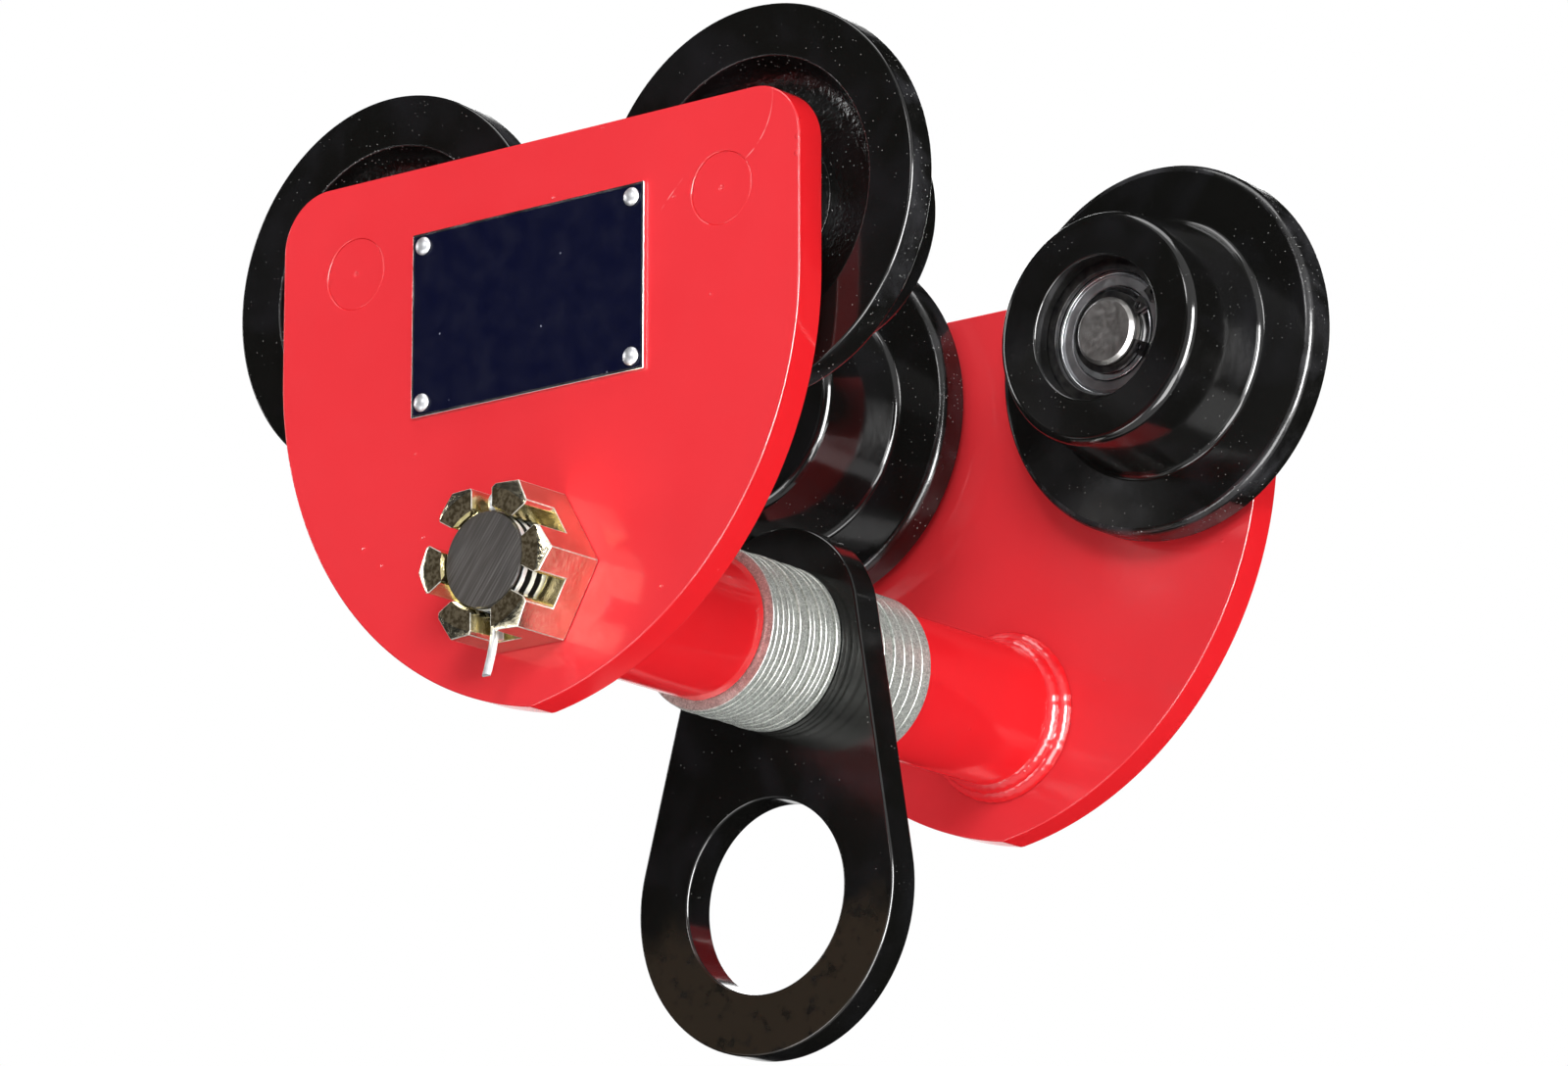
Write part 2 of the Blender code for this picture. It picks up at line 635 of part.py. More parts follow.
def make_shaft_ends(nut_finish, pin_finish):
    """A slotted nut and a split pin on each end of the load shaft."""
    nut = nut_mesh()
    pin = split_pin_mesh()
    nut_at = OUTER_FACE + SEAT_GAP + NUT_HEIGHT / 2
    pin_at = SHAFT_END - PIN_FROM_SHAFT_END
    ends = (("near", -1, TOWARDS_NEAR, 0.0), ("far", 1, TOWARDS_FAR, FAR_PIN_TURN))
    for row, side, outward, pin_turn in ends:
        place(f"nut_{row}", nut, nut_finish, (0.0, side * nut_at, SHAFT_Z), outward)
        turn = (QUARTER + pin_turn, 0.0, side * QUARTER)
        place(f"split_pin_{row}", pin, pin_finish, (0.0, side * pin_at, SHAFT_Z), turn)


def make_suspension_plate(material):
    """The plate that the hoist hooks into, with its origin on the load shaft's axis."""
    drop = EYE_TOP_RISE + EYE_HOLE_DROP
    lean = math.asin((EYE_BOTTOM_RADIUS - EYE_TOP_RADIUS) / drop)
    outline = arc(0.0, EYE_TOP_RISE, EYE_TOP_RADIUS, lean, math.pi - lean, 2 * FINE_STEP)
    outline += arc(
        0.0, -EYE_HOLE_DROP, EYE_BOTTOM_RADIUS, math.pi - lean, 2 * math.pi + lean, 2 * FINE_STEP
    )
    bore = circle(0.0, 0.0, SHAFT_HOLE_RADIUS, SHAFT_STEPS)
    hole = circle(0.0, -EYE_HOLE_DROP, EYE_HOLE_RADIUS, WHEEL_STEPS)
    mesh = flat("suspension_plate", [outline, bore, hole], EYE_THICKNESS, EYE_EDGE_ROUND)
    place("suspension_plate", mesh, material, (0.0, 0.0, SHAFT_Z), (QUARTER, EYE_SWING, 0.0))


def make_nameplate(blue, aluminium):
    """A bare nameplate on the near side plate, held by four round-head rivets."""
    half_x = NAMEPLATE_WIDTH / 2
    half_z = NAMEPLATE_HEIGHT / 2
    outline = [(-half_x, -half_z), (half_x, -half_z), (half_x, half_z), (-half_x, half_z)]
    holes = [circle(x, z, RIVET_SHANK_RADIUS + SEAT_GAP, RIVET_STEPS) for x, z in rivet_places()]
    plate = flat("nameplate", [outline, *holes], NAMEPLATE_THICKNESS)
    middle = NAMEPLATE_FRONT - NAMEPLATE_THICKNESS / 2
    place("nameplate", plate, blue, (NAMEPLATE_SHIFT, -middle, NAMEPLATE_Z), TOWARDS_NEAR)
    dome = (RIVET_HEAD_RADIUS**2 + RIVET_HEAD_HEIGHT**2) / (2 * RIVET_HEAD_HEIGHT)
    spread = math.asin(RIVET_HEAD_RADIUS / dome)
    profile = arc(0.0, RIVET_HEAD_HEIGHT - dome, dome, QUARTER, QUARTER - spread)
    profile[0] = (0.0, RIVET_HEAD_HEIGHT)
    profile += [(RIVET_SHANK_RADIUS, 0.0), (RIVET_SHANK_RADIUS, -RIVET_LENGTH), (0.0, -RIVET_LENGTH)]
    rivet = turned("rivet", profile, RIVET_STEPS, closed=False)
    for number, (x, z) in enumerate(rivet_places(), 1):
        spot = (NAMEPLATE_SHIFT + x, -NAMEPLATE_FRONT - SEAT_GAP, NAMEPLATE_Z + z)
        place(f"rivet_{number}", rivet, aluminium, spot, TOWARDS_NEAR)


def main():
    clear_scene()
    add_collections()
    red = red_enamel()
    black = black_enamel()
    zinc = bright_zinc()
    steel = dark_steel()
    make_side_plates(red)
    make_wheels(black, bearing_steel(), steel, steel)
    near_reach = stack_depth(THIN_WASHER, NEAR_WASHERS)
    far_reach = stack_depth(THICK_WASHER, FAR_WASHERS)
    make_tube("tube_near", red, near_reach, -1, TOWARDS_FAR)
    make_tube("tube_far", red, far_reach, 1, TOWARDS_NEAR)
    make_washers("near", -1, THIN_WASHER, NEAR_WASHERS, zinc)
    make_washers("far", 1, THICK_WASHER, FAR_WASHERS, zinc)
    make_load_shaft(steel)
    make_shaft_ends(yellow_zinc(), zinc)
    make_suspension_plate(black)
    make_nameplate(nameplate_blue(), rivet_aluminium())


main()
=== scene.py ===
# %% [markdown]
# # A push trolley
# Two side plates stand opposite each other, with two flanged wheels on the inside of each. A load shaft
# between the plates carries the black suspension plate that a hoist hooks into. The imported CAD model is
# the frame: every piece below is built where the frame says, in metres, with X along the way the trolley
# rolls, Y across it and Z up.

# %% Load the frame
import math

import bmesh
import bpy
from mathutils import Matrix, Vector


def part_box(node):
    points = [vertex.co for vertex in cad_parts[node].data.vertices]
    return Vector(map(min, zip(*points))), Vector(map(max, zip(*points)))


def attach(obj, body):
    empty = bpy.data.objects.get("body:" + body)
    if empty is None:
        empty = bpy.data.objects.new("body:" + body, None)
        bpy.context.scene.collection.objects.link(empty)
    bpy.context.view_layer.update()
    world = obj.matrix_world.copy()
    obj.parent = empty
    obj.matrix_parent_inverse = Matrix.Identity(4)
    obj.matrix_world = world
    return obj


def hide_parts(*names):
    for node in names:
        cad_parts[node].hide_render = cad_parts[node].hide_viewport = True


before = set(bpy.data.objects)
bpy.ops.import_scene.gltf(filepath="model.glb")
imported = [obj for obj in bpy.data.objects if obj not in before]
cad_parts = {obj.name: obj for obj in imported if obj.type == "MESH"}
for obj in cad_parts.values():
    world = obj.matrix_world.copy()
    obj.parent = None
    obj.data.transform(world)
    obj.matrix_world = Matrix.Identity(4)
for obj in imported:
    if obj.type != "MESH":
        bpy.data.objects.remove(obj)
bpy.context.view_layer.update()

# %% [markdown]
# ## Places taken from the frame
# A piece that copies a size by hand drifts away when the CAD changes. So the places of the plates, the
# axles and the shaft are measured on the CAD nodes, and only the details that the CAD leaves out are
# written as numbers. Those of the shaft and its nuts stand here, since shapes and finishes share them.

# %% Measure the frame
MM = 0.001
GAP = 0.3 * MM
SPOTS = ("near_left", "near_right", "far_left", "far_right")


def middle(node):
    low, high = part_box(node)
    return (low + high) / 2


PLATE_LOW, PLATE_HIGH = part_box("side_plate_near")
OUTER_FACE = -PLATE_LOW.y
INNER_FACE = -PLATE_HIGH.y
SHAFT = middle("load_shaft")
SHAFT_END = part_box("load_shaft")[1].y
AXLE = {spot: middle(f"wheel_{spot}") for spot in SPOTS}
AXLE_Z = AXLE["near_left"].z

SHAFT_RADIUS = 13.5 * MM
THREAD_PITCH = 4.0 * MM
NUT_BASE = OUTER_FACE + GAP
NUT_HEIGHT = 21.2 * MM
NUT_BORE = 13.8 * MM
SLOT_DEPTH = 12.0 * MM
SLOT_HALF = 3.5 * MM
print(f"plates from {1000 * INNER_FACE:.1f} to {1000 * OUTER_FACE:.1f} mm, axles {1000 * AXLE_Z:.2f} mm up")

# %% [markdown]
# ## Helpers for shaping
# Most of this trolley is turned on a lathe or cut out of flat plate, so two helpers make nearly every
# piece. A turned piece is a list of corners, each with its radius, its height, the rounding of that
# corner and the number of its finish. Rounded corners matter on glossy paint: a real edge always catches
# a thin line of light, and a knife edge in a render never does.


# %% Round the corners of a profile
def in_mm(corners):
    """The same corners in metres."""
    return [(x * MM, y * MM, rounding * MM, finish) for x, y, rounding, finish in corners]


def softened(corners, closed=True, spans=4):
    """(x, y, finish) points, where each corner (x, y, rounding, finish) has become an arc."""
    points = []
    for i, (x, y, rounding, finish) in enumerate(corners):
        ends = not closed and i in (0, len(corners) - 1)
        if rounding == 0 or ends:
            points.append((x, y, finish))
            continue
        here = Vector((x, y))
        back = (Vector(corners[i - 1][:2]) - here).normalized()
        ahead = (Vector(corners[(i + 1) % len(corners)][:2]) - here).normalized()
        half = back.angle(ahead) / 2
        centre = here + (back + ahead).normalized() * rounding / math.sin(half)
        start = here + back * rounding / math.tan(half) - centre
        turn = math.pi - 2 * half
        if start.y * back.x < start.x * back.y:
            turn = -turn
        first = math.atan2(start.y, start.x)
        for k in range(spans + 1):
            angle = first + turn * k / spans
            spot = centre + Vector((math.cos(angle), math.sin(angle))) * rounding
            points.append((spot.x, spot.y, finish))
    return points


# %% Pieces turned on a lathe
def seat(place, along):
    """Puts a turned piece at a place, with its height along +Y (along 1) or -Y (along -1)."""
    return Matrix.Translation(place) @ Matrix.Rotation(-along * math.pi / 2, 4, "X")


def new_piece(name, mesh):
    piece = bpy.data.objects.new(name, mesh)
    bpy.context.scene.collection.objects.link(piece)
    return piece


def turned(name, profile, matrix, steps=96, closed=True, shape=None):
    """A piece turned round its own height. The profile runs down the outer side, and shape may move
    a point, given its angle, radius and height."""
    points, faces, finishes, starts = [], [], [], []
    for radius, height, _finish in profile:
        starts.append(len(points))
        for k in range(steps if radius else 1):
            angle = 2 * math.pi * k / steps
            r, h = shape(angle, radius, height) if shape else (radius, height)
            points.append((r * math.cos(angle), r * math.sin(angle), h))
    for i in range(len(profile) if closed else len(profile) - 1):
        j = (i + 1) % len(profile)
        top, bottom = starts[i], starts[j]
        for k in range(steps):
            m = (k + 1) % steps
            if not profile[i][0]:
                faces.append((top, bottom + k, bottom + m))
            elif not profile[j][0]:
                faces.append((top + k, bottom, top + m))
            else:
                faces.append((top + k, bottom + k, bottom + m, top + m))
            finishes.append(profile[i][2])
    mesh = bpy.data.meshes.new(name)
    mesh.from_pydata(points, [], faces)
    mesh.polygons.foreach_set("material_index", finishes)
    mesh.transform(matrix)
    return new_piece(name, mesh)


# %% Pieces cut from flat plate
def arc(x, y, radius, start, end, step=math.radians(3.0)):
    """Points along an arc, both ends included."""
    spans = max(1, math.ceil(abs(end - start) / step))
    turns = [start + (end - start) * i / spans for i in range(spans + 1)]
    return [(x + radius * math.cos(turn), y + radius * math.sin(turn)) for turn in turns]


def circle(x, y, radius, steps=96):
    return arc(x, y, radius, 0.0, 2 * math.pi, 2 * math.pi / steps)[:steps]


def whole_faces(piece):
    """Joins the triangles of each flat face, which would hold back the rounding of its edges."""
    plain = piece.modifiers.new("Whole faces", "DECIMATE")
    plain.decimate_type = "DISSOLVE"
    plain.angle_limit = math.radians(0.5)


def flat(name, loops, thickness, matrix, edge_round=0.0):
    """A flat piece centred on its thickness, with rounded edges. Loops after the first are holes."""
    curve = bpy.data.curves.new(name, "CURVE")
    curve.dimensions = "2D"
    curve.fill_mode = "BOTH"
    curve.extrude = thickness / 2
    for loop in loops:
        spline = curve.splines.new("POLY")
        spline.points.add(len(loop) - 1)
        for point, (x, y) in zip(spline.points, loop):
            point.co = (x, y, 0.0, 1.0)
        spline.use_cyclic_u = True
    drawn = new_piece(name, curve)
    piece = new_piece(name, evaluated(drawn))
    bpy.data.objects.remove(drawn)
    weld = piece.modifiers.new("Weld", "WELD")
    weld.merge_threshold = 0.001 * MM
    if edge_round:
        whole_faces(piece)
        bevel = piece.modifiers.new("Round", "BEVEL")
        bevel.width = edge_round
        bevel.segments = 3
        bevel.limit_method = "ANGLE"
        bevel.angle_limit = math.radians(60.0)
        bevel.use_clamp_overlap = False
    mesh = evaluated(piece)
    bpy.data.objects.remove(piece)
    mesh.transform(matrix)
    return new_piece(name, mesh)


# %% Run the modifiers and finish a mesh
def evaluated(piece):
    """The piece's mesh with its modifiers run."""
    bpy.context.view_layer.update()
    graph = bpy.context.evaluated_depsgraph_get()
    return bpy.data.meshes.new_from_object(piece.evaluated_get(graph))


def cut(piece, tool, operation="DIFFERENCE"):
    """Cuts the tool away from the piece, or keeps what both share."""
    boolean = piece.modifiers.new("Cut", "BOOLEAN")
    boolean.operation = operation
    boolean.object = tool
    boolean.solver = "EXACT"
    mesh = evaluated(piece)
    piece.modifiers.clear()
    piece.data = mesh
    bpy.data.objects.remove(tool)


def finished(piece, *finishes, sharp=35.0):
    """Leaves a plain closed mesh with even shading on its flat faces, and gives it its finishes."""
    mesh = evaluated(piece)
    work = bmesh.new()
    work.from_mesh(mesh)
    bmesh.ops.remove_doubles(work, verts=work.verts, dist=0.002 * MM)
    bmesh.ops.recalc_face_normals(work, faces=work.faces)
    work.to_mesh(mesh)
    work.free()
    mesh.shade_smooth()
    mesh.set_sharp_from_angle(angle=math.radians(sharp))
    piece.modifiers.clear()
    piece.data = mesh
    even = piece.modifiers.new("Even shading", "WEIGHTED_NORMAL")
    even.keep_sharp = True
    mesh = evaluated(piece)
    piece.modifiers.clear()
    piece.data = mesh
    mesh.name = piece.name
    numbers = [min(face.material_index, len(finishes) - 1) for face in mesh.polygons]
    mesh.materials.clear()
    for finish in finishes:
        mesh.materials.append(finish)
    mesh.polygons.foreach_set("material_index", numbers)
    return piece


def fit(piece, body, slot, *nodes):
    """The piece rides on its body and stands for these CAD nodes, which it hides. slot is not used."""
    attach(piece, body)
    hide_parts(*nodes)
    triangles = sum(len(face.vertices) - 2 for face in piece.data.polygons)
    print(f"{piece.name}: {triangles} triangles, on {body}")


print("helpers: in_mm, softened, turned, flat, cut, finished, fit")

# %% [markdown]
# ## Helpers for finishes
# Each finish is a small node tree on Object coordinates. All pieces stand at the origin, so these are the
# metres of the frame, and a noise scale of 200 means a grain of about 5 mm. The helpers below add a node,
# feed it and hand back its output, so that a finish reads as a short recipe.


# %% Node helpers
def add(tree, kind, inputs=None, **settings):
    """A node with its settings. inputs maps a socket's name or number to a value or an output."""
    node = tree.nodes.new(kind)
    for key, value in settings.items():
        setattr(node, key, value)
    for key, value in (inputs or {}).items():
        if isinstance(value, bpy.types.NodeSocket):
            tree.links.new(value, node.inputs[key])
        else:
            node.inputs[key].default_value = value
    return node


def calc(tree, operation, a, b=0.0):
    return add(tree, "ShaderNodeMath", {0: a, 1: b}, operation=operation).outputs[0]


def plus(tree, base, extra, times=1.0):
    """base + extra * times"""
    return add(tree, "ShaderNodeMath", {0: extra, 1: times, 2: base}, operation="MULTIPLY_ADD").outputs[0]


def vec(tree, operation, *values):
    """A vector calculation. A length or a dot product gives a number."""
    results = add(tree, "ShaderNodeVectorMath", dict(enumerate(values)), operation=operation).outputs
    return results["Value"] if operation in ("LENGTH", "DOT_PRODUCT") else results[0]


def split(tree, vector):
    """The x, y and z of a vector."""
    return add(tree, "ShaderNodeSeparateXYZ", {0: vector}).outputs


def reach_from(tree, where, x, z):
    """The distance from a line along Y."""
    return vec(tree, "LENGTH", vec(tree, "MULTIPLY_ADD", where, (1.0, 0.0, 1.0), (-x, 0.0, -z)))


def noise(tree, where, scale, detail=2.0, distortion=0.0):
    inputs = {"Vector": where, "Scale": scale, "Detail": detail, "Distortion": distortion}
    return add(tree, "ShaderNodeTexNoise", inputs).outputs[0]


def rescale(tree, value, low, high, new_low=0.0, new_high=1.0):
    """Stretches low to high over new_low to new_high, and stops there."""
    inputs = {0: value, 1: low, 2: high, 3: new_low, 4: new_high}
    return add(tree, "ShaderNodeMapRange", inputs).outputs[0]


def blend(tree, factor, first, second):
    """Mixes two colours, given as outputs or as red, green and blue."""
    inputs = {0: factor}
    for socket, colour in ((6, first), (7, second)):
        inputs[socket] = (*colour, 1.0) if isinstance(colour, tuple) else colour
    return add(tree, "ShaderNodeMix", inputs, data_type="RGBA").outputs[2]


def bump(tree, height, depth):
    """A bump of that depth in metres."""
    return add(tree, "ShaderNodeBump", {"Height": height, "Distance": depth}).outputs[0]


def specks(tree, where, scale, size, share):
    """Small round spots: 1 on a spot and 0 between them. share is the part of the cells that has one."""
    cells = add(tree, "ShaderNodeTexVoronoi", {"Vector": where, "Scale": scale}).outputs
    spot = rescale(tree, cells["Distance"], size, 0.5 * size)
    draw = add(tree, "ShaderNodeSeparateColor", {0: cells["Color"]}).outputs[0]
    return calc(tree, "MULTIPLY", spot, calc(tree, "LESS_THAN", draw, share))


def facing_y(tree):
    """1 on faces that look along Y, and 0 on edges and tubes."""
    along = split(tree, add(tree, "ShaderNodeTexCoord").outputs["Normal"])[1]
    return rescale(tree, calc(tree, "ABSOLUTE", along), 0.4, 0.9)


def recipe(name, metallic=0.0, specular=0.5):
    """A new finish: its material, tree, shader and Object coordinates."""
    material = bpy.data.materials.new(name)
    material.use_nodes = True
    tree = material.node_tree
    shader = tree.nodes["Principled BSDF"]
    shader.inputs["Metallic"].default_value = metallic
    shader.inputs["Specular IOR Level"].default_value = specular
    where = add(tree, "ShaderNodeTexCoord").outputs["Object"]
    return material, tree, shader, where


def dress(tree, shader, colour, roughness, normal):
    for key, value in (("Base Color", colour), ("Roughness", roughness), ("Normal", normal)):
        tree.links.new(value, shader.inputs[key])


print("helpers: add, calc, plus, vec, split, noise, rescale, blend, bump, specks, facing_y, recipe, dress")

# %% [markdown]
# ## Red enamel
# The side plates and tubes carry a thick sprayed enamel. It is glossy but never flat: it has the long
# ripple called orange peel, a few bubbles and dust nibs, and hairline scratches from handling. The ripple
# and the nibs go into the bump, and the scratches lighten the colour a little, because a scratch
# scatters light. Faces that look along Y get a paler red than edges and tubes. That is a painted sheen,
# standing in for the pale veil of light on those faces.


# %% Mix the red enamel
def hairline(tree, where, x, z, radius, low_x, high_x):
    """A scratch along an arc in the XZ plane, between two values of x."""
    off = calc(tree, "ABSOLUTE", calc(tree, "SUBTRACT", reach_from(tree, where, x, z), radius))
    line = rescale(tree, off, 0.24 * MM, 0.08 * MM)
    along = split(tree, where)[0]
    after = rescale(tree, along, low_x, low_x + 2 * MM)
    before = rescale(tree, along, high_x, high_x - 2 * MM)
    return calc(tree, "MULTIPLY", line, calc(tree, "MULTIPLY", after, before))


def blister(tree, where, x, z, radius):
    """A small round bubble in the paint, seen along Y."""
    return rescale(tree, reach_from(tree, where, x, z), radius, 0.6 * radius)


def red_enamel(name, scratches=(), blisters=()):
    material, tree, shader, where = recipe(name)
    tone = rescale(tree, noise(tree, where, 16.0, 3.0), 0.3, 0.7)
    sheen_red = blend(tree, tone, (0.82, 0.037, 0.047), (0.87, 0.043, 0.054))
    narrow = blend(tree, tone, (0.83, 0.015, 0.021), (0.88, 0.018, 0.025))
    # The paler red on faces that look along Y is a painted sheen of light. Edges and tubes keep the deeper
    # red.
    colour = blend(tree, facing_y(tree), narrow, sheen_red)
    peel = noise(tree, where, 240.0, 1.0)
    grain = noise(tree, where, 1500.0, 2.0)
    nibs = specks(tree, where, 90.0, 0.055, 0.7)
    height = plus(tree, plus(tree, peel, grain, 0.05), nibs, 6.0)
    for spot in blisters:
        height = plus(tree, height, blister(tree, where, *spot), 12.0)
    normal = bump(tree, height, 0.02 * MM)
    roughness = rescale(tree, noise(tree, where, 130.0, 4.0), 0.3, 0.7, 0.10, 0.17)
    for scratch in scratches:
        broken = rescale(tree, noise(tree, where, 300.0, 2.0), 0.35, 0.55)
        mark = calc(tree, "MULTIPLY", hairline(tree, where, *scratch), broken)
        colour = blend(tree, calc(tree, "MULTIPLY", mark, 0.45), colour, (0.95, 0.45, 0.45))
        roughness = plus(tree, roughness, mark, 0.3)
    dress(tree, shader, colour, roughness, normal)
    return material


RED = red_enamel("red_enamel")
SCRATCHED_RED = red_enamel(
    "red_enamel_scratched",
    scratches=[
        (64.2 * MM, 60.7 * MM, 19.2 * MM, 73.6 * MM, 83.8 * MM),
        (121.1 * MM, -35.2 * MM, 103.9 * MM, 44.5 * MM, 52.5 * MM),
    ],
    blisters=[(91.7 * MM, 46.9 * MM, 0.8 * MM), (91.4 * MM, 42.3 * MM, 0.8 * MM)],
)
print("finishes:", RED.name, SCRATCHED_RED.name)

# %% [markdown]
# ## Black enamel
# The same gloss in black covers the cast wheels and the suspension plate. On the machined faces it is
# smooth, with tiny white points that are partly dust and paint nibs and partly painted glints. Inside the
# wheel's dish the casting skin comes through as a coarse grain that glitters, and there and on the rims
# the white points are larger and more. The rims are mottled a lighter grey, partly wear and partly a
# painted sheen. Low on the suspension plate's faces, brown patches are a painted reflection. One function
# mixes them all, from how coarse the surface is.


# %% Mix the black enamels
def black_enamel(name, grain_size, grain_depth, dust, roughness_range, painted_reflection=None, dull=0.012, nib_and_glint_size=0.11):
    """The optional last argument is a height and a colour, laid in patches on the faces below that height as
    a painted reflection.
    """
    material, tree, shader, where = recipe(name, specular=0.45)
    # White points: partly dust and paint nibs and partly painted glints. They are larger and denser in the
    # cast dish and on the rims.
    spots = specks(tree, where, 700.0, nib_and_glint_size, dust)
    spots = calc(tree, "MULTIPLY", spots, rescale(tree, noise(tree, where, 60.0, 2.0), 0.46, 0.56))
    colour = blend(tree, spots, (0.0062, 0.0062, 0.0056), (0.55, 0.55, 0.53))
    # Mottled lighter grey: marks on the paint, and on the rims, where it is lightest, partly wear and partly
    # a painted sheen.
    smudge_and_sheen = rescale(tree, noise(tree, where, 45.0, 6.0, 0.6), 0.46, 0.74)
    colour = blend(tree, smudge_and_sheen, colour, (dull, dull, 1.1 * dull))
    # Brown patches on the faces below a height: a painted reflection.
    if painted_reflection:
        level = plus(tree, split(tree, where)[2], noise(tree, where, 70.0, 5.0, 0.8), 26.0 * MM)
        reflection_zone = rescale(tree, level, painted_reflection[0] + 9.0 * MM, painted_reflection[0] - 3.0 * MM)
        reflection_zone = calc(tree, "MULTIPLY", reflection_zone, facing_y(tree))
        reflection_blots = rescale(tree, noise(tree, where, 190.0, 4.0), 0.68, 0.54, 0.25, 1.0)
        colour = blend(tree, calc(tree, "MULTIPLY", reflection_zone, reflection_blots), colour, painted_reflection[1])
    coarse = noise(tree, where, grain_size, 4.0)
    lump = noise(tree, where, grain_size / 5, 2.0)
    height = plus(tree, plus(tree, coarse, lump, 1.5), spots)
    normal = bump(tree, height, grain_depth)
    roughness = rescale(tree, noise(tree, where, 160.0, 4.0), 0.3, 0.7, *roughness_range)
    dress(tree, shader, colour, roughness, normal)
    return material


SMOOTH_BLACK = black_enamel("black_enamel_machined", 500.0, 0.012 * MM, 0.6, (0.09, 0.15))
CAST_BLACK = black_enamel("black_enamel_cast", 700.0, 0.32 * MM, 0.85, (0.14, 0.26), nib_and_glint_size=0.17)
RIM_BLACK = black_enamel("black_enamel_rim", 260.0, 0.12 * MM, 0.85, (0.12, 0.30), dull=0.055, nib_and_glint_size=0.16)
PLATE_BLACK = black_enamel(
    "black_enamel_plate", 380.0, 0.012 * MM, 0.25, (0.10, 0.16), (-129.0 * MM, (0.026, 0.020, 0.014))
)
print("finishes:", SMOOTH_BLACK.name, CAST_BLACK.name, RIM_BLACK.name, PLATE_BLACK.name)

# %% [markdown]
# ## Bare and plated metals
# The washers and split pins are zinc plated, the nuts have yellow chromate over the zinc, the shaft is
# plain dark steel and the bearings are ground. A plated surface is a metal with a cloudy colour and a
# fine grain. Yellow chromate changes colour with its thickness, from silver to yellow and green, so its
# colour follows a soft noise.


# %% Mix the metals
def plated(name, dull, bright, patch, roughness_range, grain, depth, metallic=1.0):
    """A metal whose colour drifts between two tones in patches, with a fine grain."""
    material, tree, shader, where = recipe(name, metallic)
    tone = rescale(tree, noise(tree, where, patch, 4.0, 0.4), 0.35, 0.65)
    colour = blend(tree, tone, dull, bright)
    roughness = rescale(tree, noise(tree, where, 3 * patch, 4.0), 0.3, 0.7, *roughness_range)
    normal = bump(tree, noise(tree, where, grain, 3.0), depth)
    dress(tree, shader, colour, roughness, normal)
    return material


ZINC = plated(
    "zinc_plate", (0.36, 0.38, 0.35), (0.60, 0.62, 0.58), 900.0, (0.18, 0.34), 2200.0, 0.06 * MM, 0.30
)
BRIGHT_ZINC = plated(
    "zinc_wire", (0.60, 0.61, 0.63), (0.78, 0.78, 0.80), 300.0, (0.26, 0.38), 1800.0, 0.010 * MM, 0.45
)
BEARING_STEEL = plated(
    "ground_steel", (0.50, 0.51, 0.53), (0.64, 0.65, 0.67), 150.0, (0.12, 0.20), 2500.0, 0.004 * MM
)
SHIELD_STEEL = plated(
    "pressed_shield", (0.30, 0.30, 0.31), (0.40, 0.40, 0.41), 200.0, (0.28, 0.40), 1500.0, 0.012 * MM
)
SPRING_STEEL = plated(
    "spring_steel", (0.030, 0.030, 0.032), (0.070, 0.068, 0.066), 300.0, (0.30, 0.42), 1500.0, 0.015 * MM
)
AXLE_STEEL = plated(
    "turned_steel", (0.26, 0.25, 0.24), (0.38, 0.37, 0.36), 220.0, (0.28, 0.40), 1200.0, 0.012 * MM
)
ALUMINIUM = plated(
    "bright_aluminium", (0.47, 0.48, 0.50), (0.60, 0.60, 0.62), 400.0, (0.38, 0.48), 1500.0, 0.012 * MM, 0.8
)
print("finishes:", ZINC.name, BRIGHT_ZINC.name, BEARING_STEEL.name, SPRING_STEEL.name, ALUMINIUM.name)


# %% Mix the yellow chromate of the nuts
SLOT_FLOOR = NUT_BASE + NUT_HEIGHT - SLOT_DEPTH
SLACK = 0.1 * MM  # how far the border of a finish stands off the border of the shape


def in_slots(tree, where):
    """1 on the walls and floors of the nuts' slots and in their bores, and 0 on the outer faces."""
    at = vec(tree, "SUBTRACT", where, tuple(SHAFT))
    nearest = None
    for turn in (90.0, 30.0, -30.0):
        across = (math.sin(math.radians(turn)), 0.0, -math.cos(math.radians(turn)))
        off = calc(tree, "ABSOLUTE", vec(tree, "DOT_PRODUCT", at, across))
        nearest = calc(tree, "MINIMUM", nearest, off) if nearest else off
    height = calc(tree, "ABSOLUTE", split(tree, at)[1])
    above = calc(tree, "GREATER_THAN", height, SLOT_FLOOR - 2 * SLACK)
    slot = calc(tree, "MULTIPLY", calc(tree, "LESS_THAN", nearest, SLOT_HALF + 1.5 * SLACK), above)
    reach = reach_from(tree, where, SHAFT.x, SHAFT.z)
    return calc(tree, "MAXIMUM", slot, calc(tree, "LESS_THAN", reach, NUT_BORE + 1.2 * MM))


